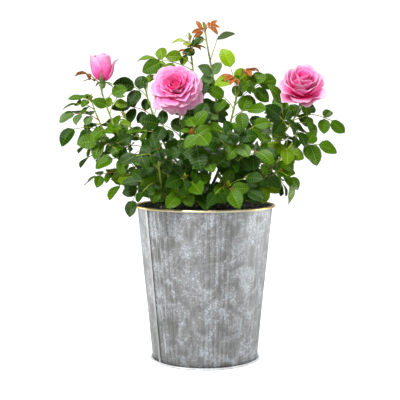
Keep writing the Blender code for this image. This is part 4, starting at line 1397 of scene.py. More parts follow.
def pink(share):
    """A pink between the steps: 0 is the deep foot of a petal, 1 its pale rim."""
    place = share * (len(PINK_STEPS) - 1)
    low = min(int(place), len(PINK_STEPS) - 2)
    part = place - low
    return srgb(*(a + (b - a) * part for a, b in zip(PINK_STEPS[low], PINK_STEPS[low + 1])))


PINKS = [pink(i / (PINK_COUNT - 1)) for i in range(PINK_COUNT)]


def petal_material(name, colour):
    made, tree, shader = plain_material(name, colour)
    where = place_coordinates(tree)
    fibres = noise_of(tree, where, 700.0, 3.0, 0.6)
    tree.links.new(scaled_range(tree, fibres, 0.42, 0.70), shader.inputs["Roughness"])
    bump_from(tree, fibres, shader, 0.18 * MM)
    shader.inputs["Specular IOR Level"].default_value = 0.15
    return made


PETAL_FINISHES = {f"pink_{i}": petal_material(f"petal_pink_{i + 1}", c) for i, c in enumerate(PINKS)}
PETAL_FINISHES["sepal"] = leaf_material(
    "sepal", srgb(104, 136, 50), dull=0.62, glossy=0.45, relief=0.12, specular=0.4)
PETAL_FINISHES["hip"] = leaf_material(
    "rose_hip", srgb(92, 122, 40), dull=0.5, glossy=0.35, relief=0.06, specular=0.5)

# %% One petal
PETAL_ROWS, PETAL_COLUMNS = 14, 13
PETAL_SHEET = 0.30 * MM  # a petal's thickness


def petal_verts(seat, length, width, opening, curl, early, roll, cup, ruffle, point, phase):
    """A petal in its flower's frame: x across, y outwards, z along the axis. Angles in radians."""
    s = np.linspace(0, 1, PETAL_ROWS)
    t = np.linspace(-1, 1, PETAL_COLUMNS)
    lean = opening + curl * s**early + roll * np.clip((s - 0.62) / 0.38, 0, 1) ** 1.6
    step = length / (PETAL_ROWS - 1)
    out = seat[0] + np.concatenate([[0], np.cumsum(np.sin((lean[1:] + lean[:-1]) / 2) * step)])
    up = seat[1] + np.concatenate([[0], np.cumsum(np.cos((lean[1:] + lean[:-1]) / 2) * step)])
    # The rim is an arc, with a small point or notch in its middle.
    short = 1 - 0.34 * (1 - np.sqrt(1 - 0.97 * t**2)) + point * (np.exp(-((t / 0.22) ** 2)) - 0.3)
    place = np.clip(s[:, None] * short[None], 0, 1.06) * (PETAL_ROWS - 1)
    index = np.minimum(place.astype(int), PETAL_ROWS - 2)
    part = place - index
    mid_out = out[index] + (out[index + 1] - out[index]) * part
    mid_up = up[index] + (up[index + 1] - up[index]) * part
    angle = lean[index]
    half = width / 2 * (0.20 + 0.80 * np.sin(np.pi / 2 * np.minimum(s / 0.80, 1.0)) ** 0.85)
    turn = cup * (1 - 0.35 * s[:, None]) * t[None]
    bow = half[:, None] * (1 - np.cos(turn)) / max(cup, 0.05)
    x = half[:, None] * np.sin(turn) / max(cup, 0.05)
    wave = ruffle * s[:, None] ** 3 * (
        np.sin(4.2 * t[None] + phase) * 0.7 + np.sin(9.1 * t[None] + 2.3 * phase) * 0.3)
    inward = bow + wave
    y = mid_out - np.cos(angle) * inward
    z = mid_up + np.sin(angle) * inward
    inner = np.stack([x, y, z], -1)
    # The back of the petal lies one thickness outside its front.
    thick = PETAL_SHEET * (1 - 0.6 * s[:, None] ** 2)
    back = inner + np.stack([np.zeros_like(x), np.cos(angle) * thick, -np.sin(angle) * thick], -1)
    return np.concatenate([inner.reshape(-1, 3), back.reshape(-1, 3)])


def petal_faces():
    count = PETAL_ROWS * PETAL_COLUMNS
    faces = sheet_faces(PETAL_ROWS, PETAL_COLUMNS, False, 0)
    faces += sheet_faces(PETAL_ROWS, PETAL_COLUMNS, True, count)
    rim = list(range(PETAL_COLUMNS))
    rim += [i * PETAL_COLUMNS + PETAL_COLUMNS - 1 for i in range(1, PETAL_ROWS)]
    rim += [PETAL_ROWS * PETAL_COLUMNS - 1 - i for i in range(1, PETAL_COLUMNS)]
    rim += [i * PETAL_COLUMNS for i in range(PETAL_ROWS - 2, 0, -1)]
    for a, b in zip(rim, rim[1:] + rim[:1]):
        faces.append((b, a, a + count, b + count))
    return np.array(faces), len(rim)


PETAL_FACES, RIM_COUNT = petal_faces()
face_rows = np.repeat(np.arange(PETAL_ROWS - 1) / (PETAL_ROWS - 2), PETAL_COLUMNS - 1)
FACE_HEIGHT = np.concatenate([face_rows, face_rows, np.full(RIM_COUNT, 1.0)])
FACE_BACK = np.concatenate([np.zeros(len(face_rows)), np.ones(len(face_rows) + RIM_COUNT)])
print("a petal:", 2 * len(PETAL_FACES), "triangles")


def flower_frame(facing):
    """The axes of a flower that looks in a direction: its side, its top and the way it faces."""
    axis = Vector(facing).normalized()
    side = UP.cross(axis).normalized() if abs(axis.z) < 0.99 else Vector((1.0, 0.0, 0.0))
    return Matrix((side, axis.cross(side), axis)).transposed()


# %% Whorls of the two open roses
# Each whorl: petals, length and width in millimetres, opening, curl, roll and cup in degrees,
# ruffle in millimetres, how pale its petals are from foot to rim, where the first one points, how
# early they curl (under 1, most of the curl is near the foot) and how loosely they lie.
TURN_BETWEEN = 2.4  # radians from one whorl to the next
Whorl = namedtuple("Whorl", "count length width opening curl roll cup ruffle pale first early loose",
                   defaults=(None, 1.0, 1.0))
CENTRE_WHORLS = (
    Whorl(3, 11, 12, 6, -10, 0, 95, 0.3, (0.0, 0.25), loose=2.4),
    Whorl(5, 14, 17, 20, -26, 4, 85, 0.5, (0.0, 0.45), loose=2.4),
    Whorl(5, 19, 24, 34, -36, 10, 75, 0.8, (0.0, 0.60), loose=2.2),
    Whorl(6, 22, 28, 46, -38, 18, 62, 1.1, (0.0, 0.72), loose=2.2),
    Whorl(7, 25, 31, 57, -36, 26, 50, 1.4, (0.0, 0.78), loose=1.8),
    Whorl(8, 28, 33, 68, -32, 34, 40, 1.8, (0.02, 0.82), loose=1.4),
    Whorl(8, 31, 37, 78, -22, 38, 32, 2.1, (0.05, 0.86)),
    Whorl(7, 33, 41, 87, -12, 34, 24, 2.3, (0.10, 0.92)),
    Whorl(5, 35, 44, 97, 8, 24, 18, 2.5, (0.20, 0.96)),
    Whorl(1, 38, 38, 97, 12, 14, 18, 2.0, (0.30, 0.98), 2.15),
    Whorl(1, 38, 38, 97, 12, 14, 18, 2.0, (0.30, 0.98), 4.2),
    Whorl(1, 35, 27, 104, 16, 8, 24, 1.4, (0.35, 0.98), 2.98),
    Whorl(1, 35, 27, 106, 16, 8, 24, 1.4, (0.35, 0.98), 3.42),
)
RIGHT_WHORLS = (
    Whorl(3, 32, 26, 3, -4, 0, 95, 0.3, (0.0, 0.50)),
    Whorl(3, 37, 36, 12, -14, 12, 90, 0.7, (0.0, 0.60)),
    Whorl(4, 39, 42, 24, -26, 26, 78, 1.1, (0.0, 0.74)),
    Whorl(5, 40, 45, 36, -30, 42, 62, 1.4, (0.02, 0.84)),
    Whorl(5, 39, 46, 50, -34, 46, 50, 1.7, (0.08, 0.92)),
    Whorl(6, 37, 46, 66, -32, 46, 40, 2.0, (0.18, 0.96)),
    Whorl(6, 33, 42, 80, -26, 36, 34, 2.0, (0.30, 1.0)),
)


def ball_mesh(centre, frame_of, radius, half_height):
    """A long ball with five faint ridges."""
    verts = []
    columns, rows = 20, 12
    for i in range(rows + 1):
        polar = math.pi * i / rows
        for k in range(columns):
            angle = 2 * math.pi * k / columns
            ridge = 1 + 0.02 * math.cos(5 * angle)
            verts.append(centre + frame_of @ Vector((
                radius * ridge * math.sin(polar) * math.cos(angle),
                radius * ridge * math.sin(polar) * math.sin(angle), half_height * math.cos(polar))))
    return verts, ring_faces(rows + 1, columns, inwards=True)


# %% A petal in its place
def add_petal(pile, frame_of, base, heading, verts, pale):
    """pale is how pale its foot and its rim are. Its back is a little paler."""
    turn = np.array(frame_of @ Matrix.Rotation(heading, 3, "Z"))
    # Partly painted shade: the deep pinks near a petal's foot stand for the light caught between petals as
    # well as the rose's own colour. The paler back is the petal's own colour.
    shade = pale[0] + (pale[1] - pale[0]) * FACE_HEIGHT**1.3 + FACE_BACK * 0.14
    grain = np.sin(np.arange(len(shade)) * 12.9898 + verts[0, 0] * 7e4) * 0.45
    kinds = np.clip(np.round(shade * (len(PINKS) - 1) + grain), 0, len(PINKS) - 1).astype(int)
    pile.add(verts @ turn.T + np.array(base), PETAL_FACES, kinds)


def add_whorls(pile, flower_base, frame_of, whorls, seed):
    draw = random.Random(seed)
    turn = draw.uniform(0, 6.3)
    for order, whorl in enumerate(whorls):
        share = order / (len(whorls) - 1)
        turn = turn if whorl.first is None else whorl.first
        for i in range(whorl.count):
            heading = turn + 2 * math.pi * i / whorl.count + draw.uniform(-0.12, 0.12) * whorl.loose
            verts = petal_verts(
                ((0.8 + 3.2 * share) * MM, (4.0 - 3.0 * share) * MM),
                whorl.length * draw.uniform(0.93, 1.06) * MM,
                whorl.width * draw.uniform(0.90, 1.10) * MM,
                math.radians(whorl.opening + draw.uniform(-5, 5) * whorl.loose
                             + 2.5 * i * (whorl.early < 1)),
                math.radians(whorl.curl), whorl.early,
                math.radians(whorl.roll + draw.uniform(-10, 10)), math.radians(whorl.cup),
                whorl.ruffle * MM, draw.uniform(-0.06, 0.02) + 0.08 * share**3, draw.uniform(0, 6.3))
            add_petal(pile, frame_of, flower_base, heading, verts, whorl.pale)
        turn += TURN_BETWEEN


# %% Hips, stalks and sepals
HIP_RADIUS = 4.4 * MM


def add_hip_and_stalk(pile, stem, base, frame_of):
    axis = frame_of @ UP
    run = (stem[-1] - stem[-2]).normalized()
    route = [stem[-1]] + bend(stem[-1] + run * STRAIGHT_END, run, base, axis, 4)
    line = smooth_line(route, 1.5 * MM)
    pile.add(*limb_mesh(line, lambda s: (1.25 + 0.5 * s**6) * MM, 10, 0.04, 3.0), "hip")
    pile.add(*ball_mesh(base - axis * 2.5 * MM, frame_of, HIP_RADIUS, HIP_RADIUS * 1.6), "hip")


def sepal_verts(root, way, normal, length, width, back):
    """A narrow sepal with side lobes, bent back along its length."""
    verts, faces = [], []
    thin = 0.25 * MM
    side = way.cross(normal).normalized()
    rows = 12
    place, angle = root.copy(), 0.0
    for i in range(rows + 1):
        s = i / rows
        half = width / 2 * (1 - s) ** 0.8 * (1 + 0.5 * max(0.0, math.sin(s * 24)) * (s > 0.2))
        half = max(half, 0.12 * MM)
        direction = way * math.cos(angle) - normal * math.sin(angle)
        for k in (-1, 0, 1):
            verts.append(place + side * k * half - normal * (thin if k == 0 else 0.0))
        place = place + direction * length / rows
        angle += back / rows
    for i in range(rows):
        for k in range(2):
            a = i * 3 + k
            faces.append((a, a + 1, a + 4, a + 3))
    count = len(verts)
    verts += [v - normal * thin for v in verts]
    faces += [tuple(reversed([i + count for i in face])) for face in faces]
    return verts, faces


def add_sepals(pile, base, frame_of, raised, seed):
    """Five sepals: those whose heading is in raised still lie along the bud, the others bend back."""
    axis = frame_of @ UP
    draw = random.Random(seed)
    for heading in (-1.6, -0.35, 0.9, 2.15, 3.4):
        flat = frame_of @ Vector((math.cos(heading), math.sin(heading), 0.0))
        if heading in raised:
            way, back = flat * 0.96 + axis * 0.20, -1.5
        else:
            way, back = flat - axis * draw.uniform(0.0, 0.5), draw.uniform(0.5, 1.3)
        way.normalize()
        root = base + flat * 4.2 * MM
        pile.add(*sepal_verts(root, way, across(way, axis), 20 * MM, 7 * MM, back), "sepal")


# %% The two open roses
def build_rose(name, carrier, base, facing, whorls, seed, raised=()):
    """One flower on the stem of its carrier. base is where its petals start, in millimetres."""
    pile = Pile(PETAL_FINISHES)
    frame_of = flower_frame(facing)
    base = Vector(base) * MM
    add_hip_and_stalk(pile, bush.stems[carrier], base, frame_of)
    add_whorls(pile, base, frame_of, whorls, seed)
    add_sepals(pile, base, frame_of, raised, seed)
    dress(pile.build(name + "_petals"), [name])


build_rose("bloom_centre", "centre", (-39.5, -46, 388), (-0.06, -0.86, 0.50), CENTRE_WHORLS, 21)
build_rose("bloom_right", "right", (136, -14, 381), (0.02, -0.70, 0.71), RIGHT_WHORLS, 8)

# %% [markdown]
# ## The bud
# The bud stands upright on a long stem. Its outer petals still wrap each other in an urn, and only
# their rims have begun to roll out. Three sepals have bent back and two still lie along it.

# %% The half-open bud
BUD_WHORLS = (
    Whorl(3, 34, 24, 40, -56, 0, 105, 0.2, (0.05, 0.60), early=0.6),
    Whorl(4, 37, 32, 66, -88, 10, 100, 0.4, (0.12, 0.62), early=0.6),
    Whorl(3, 39, 44, 80, -108, 22, 100, 0.6, (0.18, 0.72), 1.2, 0.55),
    Whorl(3, 41, 48, 84, -110, 40, 92, 0.8, (0.18, 0.76), 4.0, 0.55),
    Whorl(1, 37, 26, 88, -104, 118, 60, 0.4, (0.40, 0.80), 4.9, 0.6),
)
build_rose("bud_left", "bud", (-144, -25, 399), (-0.03, -0.06, 1.0), BUD_WHORLS, 4, (-1.6, 3.4))

# %% [markdown]
# ## The zinc pot
# The pot is a tapered can of galvanised sheet with low upright ribs in uneven groups, a lapped seam
# down its left, a rolled rim with a worn gilt wash and a thin bead round its foot. Weather has
# turned the zinc to a mottled patina: cloudy greys, with chalky white bloom caught on the ribs.
# Some light is painted into the colours: a highlight on the middle of the rim, a near white bead at
# the foot and a shadow beside the seam's free edge.
#
# The wall is one turned grid with twelve columns of vertices to a rib, so that ribs look round. The
# patina is a node group of six noises, from clouds of a few centimetres down to grain of a
# millimetre. Every zinc part uses it with its own strengths and greys.


# %% Ribs in uneven groups
POT_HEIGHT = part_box("pot_rim")[1].z
WALL_TOP, WALL_FOOT = 97.9 * MM, 75.8 * MM  # radii
WALL_THICKNESS = 0.9 * MM
RIM_BEAD, FOOT_BEAD = 1.75 * MM, 1.6 * MM
SEAM_HEADING = math.radians(-146.8)
RIBS = 72
RIB_HEIGHT = 0.5 * MM
RIB_DRIFT, DRIFT_WAVES = 1.2, 5  # how far ribs stray from an even pitch, and how often round
SMOOTH_BANDS = 7  # bands round the pot where the ribs fade
BAND_HEADING = math.radians(-105)
BAND_MEAN, BAND_SWING, FAINTEST_RIB = 0.75, 0.9, 0.10  # how strong the ribs are
WALL_STEPS, WALL_ROWS = RIBS * 12, 18


def rib_shape(angle):
    """A rib's outline round the pot, from 0 in a groove to 1 on a ridge, and how strong it is."""
    wave = 0.5 + 0.5 * math.cos(RIBS * angle + RIB_DRIFT * math.sin(DRIFT_WAVES * angle))
    band = math.cos(SMOOTH_BANDS * (angle - BAND_HEADING))
    return wave**3, min(1.0, max(FAINTEST_RIB, BAND_MEAN - BAND_SWING * band))


def plain_radius(height):
    return WALL_FOOT + (WALL_TOP - WALL_FOOT) * height / POT_HEIGHT


def wall_radius(height, angle):
    """The wall's radius at a height and a heading, with its ribs and its soft dents."""
    ridge, strength = rib_shape(angle)
    dent = noise.noise(Vector((math.cos(angle) * 2.2, math.sin(angle) * 2.2, height * 18)))
    return plain_radius(height) + RIB_HEIGHT * (ridge * strength - 0.7) + 0.25 * MM * dent


print("rib pitch at the rim, mm:", round(2 * math.pi * WALL_TOP / RIBS / MM, 2))


# %% Helpers for the patina
def contrast(tree, value, low, high):
    """A value spread so that low becomes 0 and high becomes 1."""
    node = tree.nodes.new("ShaderNodeMapRange")
    tree.links.new(value, node.inputs["Value"])
    node.inputs["From Min"].default_value = low
    node.inputs["From Max"].default_value = high
    return node.outputs["Result"]


# %% The ribs as a mask
def rib_mask(tree, where):
    """The same ribs as a mask for the finish, so that grime can lie in the grooves."""
    split = tree.nodes.new("ShaderNodeSeparateXYZ")
    tree.links.new(where, split.inputs["Vector"])
    angle = maths(tree, "ARCTAN2", split.outputs["Y"], split.outputs["X"])
    drift = times(tree, maths(tree, "SINE", times(tree, angle, float(DRIFT_WAVES))), RIB_DRIFT)
    turn = plus(tree, times(tree, angle, float(RIBS)), drift)
    wave = maths(tree, "MULTIPLY_ADD", maths(tree, "COSINE", turn), 0.5, 0.5)
    band = times(tree, maths(tree, "SUBTRACT", angle, BAND_HEADING), float(SMOOTH_BANDS))
    strength = maths(tree, "MULTIPLY_ADD", maths(tree, "COSINE", band), -BAND_SWING, BAND_MEAN)
    strength = maths(tree, "MINIMUM", maths(tree, "MAXIMUM", strength, FAINTEST_RIB), 1.0)
    return wave, strength


# %% The patina itself
def make_patina():
    group, inlet, outlet = new_group(
        "zinc_patina",
        (("Sheet", "NodeSocketColor", srgb(156, 158, 157)), ("Shade", "NodeSocketColor", srgb(117, 118, 116)),
         ("Chalk", "NodeSocketColor", srgb(206, 214, 226)), ("Grime", "NodeSocketColor", srgb(92, 91, 86)),
         ("Chalk amount", "NodeSocketFloat", 0.6), ("Rib amount", "NodeSocketFloat", 0.0)),
        (("Colour", "NodeSocketColor"), ("Roughness", "NodeSocketFloat"), ("Height", "NodeSocketFloat")))
    where = place_coordinates(group)
    clouds = noise_of(group, where, 38.0, 4.0, 0.62, 0.8)
    upright = group.nodes.new("ShaderNodeMapping")
    upright.inputs["Scale"].default_value = (1.0, 1.0, 0.10)
    group.links.new(where, upright.inputs["Vector"])
    streaks = noise_of(group, upright.outputs["Vector"], 240.0, 5.0, 0.68)
    flakes = noise_of(group, where, 250.0, 6.0, 0.76, 2.6)
    ground = noise_of(group, where, 700.0, 4.0, 0.7)

    shade = contrast(group, plus(group, clouds, streaks), 1.22, 0.80)
    base = mixed(group, shade, inlet.outputs["Sheet"], inlet.outputs["Shade"])

    wave, strength = rib_mask(group, where)
    groove = times(group, maths(group, "POWER", maths(group, "SUBTRACT", 1.0, wave), 5.0), strength)
    broken = times(group, groove, contrast(group, streaks, 0.30, 0.62))
    grime = times(group, broken, inlet.outputs["Rib amount"])
    base = mixed(group, grime, base, inlet.outputs["Grime"])

    # Chalk gathers in patches, along the crests of the ribs and in thin crinkled lines.
    folds = noise_of(group, where, 95.0, 3.0, 0.6, 1.6)
    line = maths(group, "ABSOLUTE", maths(group, "SUBTRACT", folds, 0.5))
    crinkle = times(group, contrast(group, line, 0.035, 0.0), contrast(group, clouds, 0.45, 0.60))
    crest = times(group, maths(group, "POWER", wave, 8.0), strength)
    crest = times(group, times(group, crest, inlet.outputs["Rib amount"]), 0.05)
    mottle = plus(group, times(group, flakes, 0.75), times(group, clouds, 0.24))
    mottle = plus(group, plus(group, mottle, times(group, ground, 0.25)), crest)
    flecks = contrast(group, noise_of(group, where, 330.0, 2.0, 0.5, 0.6), 0.60, 0.66)
    flecks = times(group, flecks, contrast(group, clouds, 0.40, 0.56))
    patches = contrast(group, mottle, 0.67, 0.78)
    chalk = maths(group, "MAXIMUM", patches, maths(group, "MAXIMUM", crinkle, flecks))
    chalk = times(group, chalk, inlet.outputs["Chalk amount"])
    group.links.new(mixed(group, chalk, base, inlet.outputs["Chalk"]), outlet.inputs["Colour"])
    rough = scaled_range(group, plus(group, chalk, times(group, clouds, 0.5)), 0.34, 0.66)
    group.links.new(rough, outlet.inputs["Roughness"])
    height = plus(group, times(group, streaks, 0.5), flakes)
    group.links.new(plus(group, height, ground), outlet.inputs["Height"])
    return group


PATINA = make_patina()


# %% Finishes for zinc
def zinc_material(name, metallic, relief, **values):
    """relief is in millimetres. values go to the patina's own sockets."""
    made, tree, shader = plain_material(name, srgb(160, 161, 160))
    patina = use_group(tree, PATINA, **values)
    tree.links.new(patina.outputs["Colour"], shader.inputs["Base Color"])
    tree.links.new(patina.outputs["Roughness"], shader.inputs["Roughness"])
    shader.inputs["Metallic"].default_value = metallic
    bump_from(tree, patina.outputs["Height"], shader, relief * MM)
    return made


ZINC_FINISHES = {
    "wall": zinc_material("zinc_wall", 0.45, 0.35, Chalk_amount=0.85, Rib_amount=0.75),
    "lining": zinc_material("zinc_lining", 0.35, 0.3, Chalk_amount=0.3, Sheet=srgb(120, 120, 118)),
    "seam": zinc_material("zinc_seam", 0.3, 0.15, Chalk_amount=0.4, Sheet=srgb(176, 177, 176),
                          Shade=srgb(150, 150, 148)),
    # Painted shadow: a dark finish for the faces beside the seam's free edge.
    "gap": zinc_material("seam_shadow", 0.1, 0.1, Chalk_amount=0.1, Sheet=srgb(70, 70, 68),
                         Shade=srgb(52, 52, 50)),
    # Painted light: the bead's sheet is near white, much paler than the wall's zinc, so that the foot shows a
    # lit line although the bead's lower half faces down.
    "bead": zinc_material("zinc_bead", 0.1, 0.15, Chalk_amount=0.4, Sheet=srgb(232, 234, 235),
                          Shade=srgb(196, 197, 197)),
}


# %% The ribbed wall
def build_wall():
    pile = Pile(ZINC_FINISHES)
    heights = [POT_HEIGHT * i / WALL_ROWS for i in range(WALL_ROWS)] + [POT_HEIGHT - RIM_BEAD]
    for inset, kind in ((0.0, "wall"), (WALL_THICKNESS, "lining")):
        verts = []
        for height in heights:
            for k in range(WALL_STEPS):
                angle = 2 * math.pi * k / WALL_STEPS
                radius = wall_radius(height, angle) - inset
                verts.append((radius * math.cos(angle), radius * math.sin(angle), height))
        faces = ring_faces(len(heights), WALL_STEPS)
        if kind == "lining":
            faces = [tuple(reversed(face)) for face in faces]
        pile.add(verts, faces, kind)
    count = WALL_STEPS * len(heights)
    low_edge = [(k, (k + 1) % WALL_STEPS) for k in range(WALL_STEPS)]
    pile.faces += [(b, a, a + count, b + count) for a, b in low_edge]
    pile.kinds.append(np.full(WALL_STEPS, pile.slots["lining"]))
    dress(pile.build("zinc_wall"), ["pot_wall"])


build_wall()


# %% Beads
def ring_mesh(radius, bead, height, steps, sides, uneven):
    """A ring of round wire, whose thickness varies by a share of it."""
    verts, faces = [], []
    for i in range(steps):
        heading = 2 * math.pi * i / steps
        around = Vector((math.cos(heading), math.sin(heading), 0.0))
        own = bead * (1 + uneven * noise.noise(around * 9))
        for k in range(sides):
            angle = 2 * math.pi * k / sides
            verts.append(around * (radius + own * math.cos(angle))
                         + UP * (height + own * math.sin(angle)))
    for i in range(steps):
        for k in range(sides):
            a, b = i * sides + k, i * sides + (k + 1) % sides
            c, d = (i + 1) % steps * sides + k, (i + 1) % steps * sides + (k + 1) % sides
            faces.append((a, c, d, b))
    return verts, faces


# %% Rim and foot
def gilt_material():
    made, tree, shader = plain_material("worn_gilt", srgb(222, 200, 128))
    where = place_coordinates(tree)
    worn = noise_of(tree, where, 42.0, 4.0, 0.65)
    split = tree.nodes.new("ShaderNodeSeparateXYZ")
    tree.links.new(where, split.inputs["Vector"])
    # Painted highlight: towards x = 0, the middle of the rim as the camera sees it, the gilt turns pale cream
    # where the lamps' reflection would lie. The worn noise is real wear of the wash.
    aside = contrast(tree, maths(tree, "ABSOLUTE", split.outputs["X"]), 0.09, 0.03)
    pale = plus(tree, scaled_range(tree, worn, -0.3, 0.6), times(tree, aside, 0.6))
    gilt = mixed(tree, pale, srgb(214, 188, 90), srgb(244, 236, 208))
    tree.links.new(gilt, shader.inputs["Base Color"])
    tree.links.new(scaled_range(tree, worn, 0.2, 0.42), shader.inputs["Roughness"])
    shader.inputs["Metallic"].default_value = 0.75
    bump_from(tree, noise_of(tree, where, 320.0), shader, 0.12 * MM)
    return made


BEAD_GAP = 0.3 * MM  # between the wall and a bead


def build_rim():
    pile = Pile({"gilt": gilt_material()})
    radius = WALL_TOP + BEAD_GAP + RIM_BEAD
    pile.add(*ring_mesh(radius, RIM_BEAD, POT_HEIGHT - RIM_BEAD, 220, 14, 0.05), "gilt")
    dress(pile.build("gilt_rim"), ["pot_rim"])


def build_foot():
    pile = Pile(ZINC_FINISHES)
    radius = WALL_FOOT + BEAD_GAP + FOOT_BEAD
    pile.add(*ring_mesh(radius, FOOT_BEAD, FOOT_BEAD, 220, 12, 0.03), "bead")
    dress(pile.build("foot_bead"), ["pot_foot"])


build_rim()
build_foot()


# %% The pressed bottom
def build_bottom():
    """The pressed bottom: a disc with a shallow raised ring, as stamped sheet has."""
    pile = Pile(ZINC_FINISHES)
    low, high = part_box("pot_bottom")
    radius, thick = high.x, high.z - low.z
    steps = 96
    profile = [(0.02, 0.0), (0.55, 0.0), (0.60, 0.4), (0.74, 0.4), (0.79, 0.0), (1.0, 0.0)]
    verts = [(0.0, 0.0, low.z)]
    for share, lift in profile:
        verts += level_ring(share * radius, low.z + lift * MM, steps)
    faces = [(0, 1 + (k + 1) % steps, 1 + k) for k in range(steps)]
    faces += ring_faces(len(profile), steps, first=1)
    last = 1 + (len(profile) - 1) * steps
    top = len(verts)
    verts += level_ring(radius, low.z + thick, steps)
    verts.append((0.0, 0.0, low.z + thick))
    for k in range(steps):
        a, b = k, (k + 1) % steps
        faces.append((last + a, last + b, top + b, top + a))
        faces.append((top + a, top + b, len(verts) - 1))
    pile.add(verts, faces, "lining")
    dress(pile.build("pressed_bottom", smooth=False), ["pot_bottom"])


build_bottom()


# %% The lapped seam
def build_seam():
    """The lapped seam: a flat strip with a rounded free edge that follows the wall's slope."""
    pile = Pile(ZINC_FINISHES)
    low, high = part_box("pot_seam")
    section = [(-3.5, 0.0), (-3.3, 0.45), (-2.6, 0.62), (0.0, 0.66), (2.2, 0.62), (2.9, 0.80),
               (3.4, 0.72), (3.5, 0.0)]
    rows = 40
    verts = []
    for i in range(rows + 1):
        height = low.z + (high.z - low.z) * i / rows
        radius = plain_radius(height)
        for aside, out in section:
            angle = SEAM_HEADING + aside * MM / radius
            dent = 0.06 * noise.noise(Vector((aside, out, height * 90)))
            far = radius + (out + dent) * MM
            verts.append((far * math.cos(angle), far * math.sin(angle), height))
    wide = len(section)
    faces = sheet_faces(rows + 1, wide, False, 0)
    faces.append(tuple(reversed(range(wide))))
    faces.append(tuple(range(len(verts) - wide, len(verts))))
    # The section's last three faces are the lap's free edge, painted dark as its own shadow.
    kinds = [pile.slots["gap" if k > wide - 4 else "seam"] for k in range(wide - 1)] * rows
    pile.add(verts, faces, kinds + [pile.slots["seam"]] * 2)
    dress(pile.build("lap_seam", smooth=False), ["pot_seam"])


build_seam()

# %% [markdown]
# ## Soil and rootstock
# The soil is dark, damp potting mix with crumbs, bark chips and a few pale grains. It fills the pot
# to just under the rim. The rootstock is the knuckle that all canes leave from: old bark, cracked
# and knobbed. Both are grids pushed about by noise, and the crumbs are some hundreds of small balls
# with rough faces, scattered on top.


# %% The soil
def soil_material(name, light, dark):
    made, tree, shader = plain_material(name, light)
    grains = noise_of(tree, place_coordinates(tree), 420.0, 6.0, 0.75)
    colour = mixed(tree, scaled_range(tree, grains, -0.5, 1.5), dark, light)
    tree.links.new(colour, shader.inputs["Base Color"])
    tree.links.new(scaled_range(tree, grains, 0.7, 1.0), shader.inputs["Roughness"])
    bump_from(tree, grains, shader, 1.2 * MM)
    return made


SOIL_FINISHES = {
    "mix": soil_material("potting_mix", srgb(46, 38, 30), srgb(18, 14, 10)),
    "chip": soil_material("bark_chip", srgb(78, 56, 38), srgb(40, 28, 20)),
    "grain": soil_material("pale_grain", srgb(150, 146, 136), srgb(96, 92, 84)),
}


# %% Soil with its crumbs
def crumb_mesh(centre, size, draw):
    """A small ball squashed and pushed out of round."""
    verts = []
    bm = bmesh.new()
    bmesh.ops.create_icosphere(bm, subdivisions=1, radius=1.0)
    squash = Vector((draw.uniform(0.6, 1.3), draw.uniform(0.6, 1.3), draw.uniform(0.4, 0.9)))
    for vert in bm.verts:
        rough = 1 + 0.35 * noise.noise(vert.co * 1.7 + centre * 900)
        verts.append(centre + Vector(x * y for x, y in zip(vert.co, squash)) * size * rough)
    faces = [tuple(v.index for v in face.verts) for face in bm.faces]
    bm.free()
    return verts, faces


def soil_height(x, y, dome, edge, radius):
    """The soil's rough top: a low dome from its edge to its middle."""
    share = min(1.0, math.hypot(x, y) / radius)
    rough = noise.noise(Vector((x, y, 0)) * 70) * 1.4 + noise.noise(Vector((x, y, 3)) * 260) * 0.7
    return edge + (dome - edge) * (1 - share**2) + rough * MM * (1 - 0.6 * share**6)


CRUMBS = 900
SOIL_TAPER = 0.11  # how much narrower for each metre down, a little more than the pot


def build_soil():
    pile = Pile(SOIL_FINISHES)
    _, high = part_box("soil")
    radius = high.x - 0.2 * MM
    edge, dome = 218 * MM, high.z
    rings, steps = 44, 120
    verts = [(0.0, 0.0, soil_height(0, 0, dome, edge, radius))]
    for i in range(1, rings + 1):
        for x, y, _ in level_ring(radius * i / rings, 0.0, steps, 0.5 * (i % 2)):
            verts.append((x, y, soil_height(x, y, dome, edge, radius)))
    for height in (edge - 6 * MM, edge - 14 * MM):
        verts += level_ring(radius - (edge - height) * SOIL_TAPER, height, steps)
    faces = [(0, 1 + k, 1 + (k + 1) % steps) for k in range(steps)]
    faces += ring_faces(rings + 2, steps, first=1, inwards=True)
    faces.append(tuple(reversed(range(len(verts) - steps, len(verts)))))
    pile.add(verts, faces, "mix")
    draw = random.Random(17)
    for i in range(CRUMBS):
        far, angle = radius * 0.97 * math.sqrt(draw.random()), draw.uniform(0, 2 * math.pi)
        if far < STOCK_RADIUS * 1.1:
            continue
        x, y = far * math.cos(angle), far * math.sin(angle)
        size = draw.uniform(0.7, 2.2) * MM
        centre = Vector((x, y, soil_height(x, y, dome, edge, radius) + size * 0.15))
        kind = "mix" if i % 6 else ("grain" if i % 4 == 0 else "chip")
        pile.add(*crumb_mesh(centre, size, draw), kind)
    dress(pile.build("potting_soil", smooth=False), ["soil"])


build_soil()


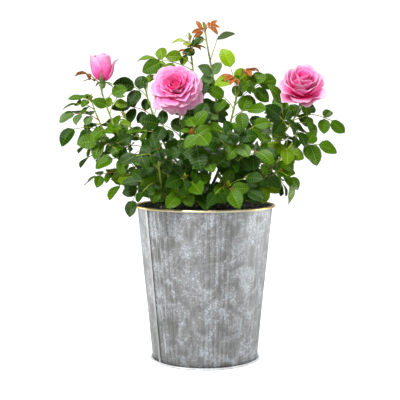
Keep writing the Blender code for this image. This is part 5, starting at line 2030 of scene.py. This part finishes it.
# %% The rootstock
def build_rootstock():
    old_bark = limb_material("old_bark", srgb(104, 88, 58), srgb(48, 38, 26), 0.85, 1.4)
    pile = Pile({"bark": old_bark})
    low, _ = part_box("rootstock")
    rows, steps = 26, 48
    verts = []
    for i in range(rows + 1):
        polar = math.pi * i / rows
        for k in range(steps):
            angle = 2 * math.pi * k / steps
            way = Vector((math.sin(polar) * math.cos(angle), math.sin(polar) * math.sin(angle),
                          math.cos(polar)))
            knobs = noise.noise(way * 2.3) * 0.07 + noise.noise(way * 7.0) * 0.05
            point = STOCK_CENTRE + way * STOCK_RADIUS * (0.97 + knobs)
            point.z = max(point.z, low.z)
            verts.append(point)
    pile.add(verts, ring_faces(rows + 1, steps, inwards=True), "bark")
    dress(pile.build("rootstock_bark"), ["rootstock"])


build_rootstock()

# %% [markdown]
# ## Floor and backdrop
# A pale sheet runs under the pot and bends up behind it, so that no horizon shows. It gives off a
# little light of its own, which keeps it near white while a soft shadow still gathers at the foot.


# %% The sheet
def build_backdrop():
    made, tree, shader = plain_material("pale_paper", (0.55, 0.55, 0.55, 1.0))
    fibre = noise_of(tree, place_coordinates(tree), 300.0)
    tree.links.new(scaled_range(tree, fibre, 0.80, 0.95), shader.inputs["Roughness"])
    shader.inputs["Emission Color"].default_value = (1.0, 1.0, 1.0, 1.0)
    ray = tree.nodes.new("ShaderNodeLightPath")
    glow = scaled_range(tree, ray.outputs["Is Camera Ray"], 0.10, 0.74)
    tree.links.new(glow, shader.inputs["Emission Strength"])
    half, near, turn_at, radius, top = 4.0, -3.0, 1.6, 0.8, 3.2
    line = [(near, 0.0), (turn_at, 0.0)]
    for i in range(1, 13):
        angle = math.pi / 2 * i / 12
        line.append((turn_at + radius * math.sin(angle), radius * (1 - math.cos(angle))))
    line.append((turn_at + radius, top))
    verts = [(x, y, z) for y, z in line for x in (-half, half)]
    faces = [(2 * i, 2 * i + 1, 2 * i + 3, 2 * i + 2) for i in range(len(line) - 1)]
    mesh = bpy.data.meshes.new("backdrop")
    mesh.from_pydata(verts, [], faces)
    mesh.materials.append(made)
    mesh.shade_smooth()
    new_object("backdrop", mesh)


build_backdrop()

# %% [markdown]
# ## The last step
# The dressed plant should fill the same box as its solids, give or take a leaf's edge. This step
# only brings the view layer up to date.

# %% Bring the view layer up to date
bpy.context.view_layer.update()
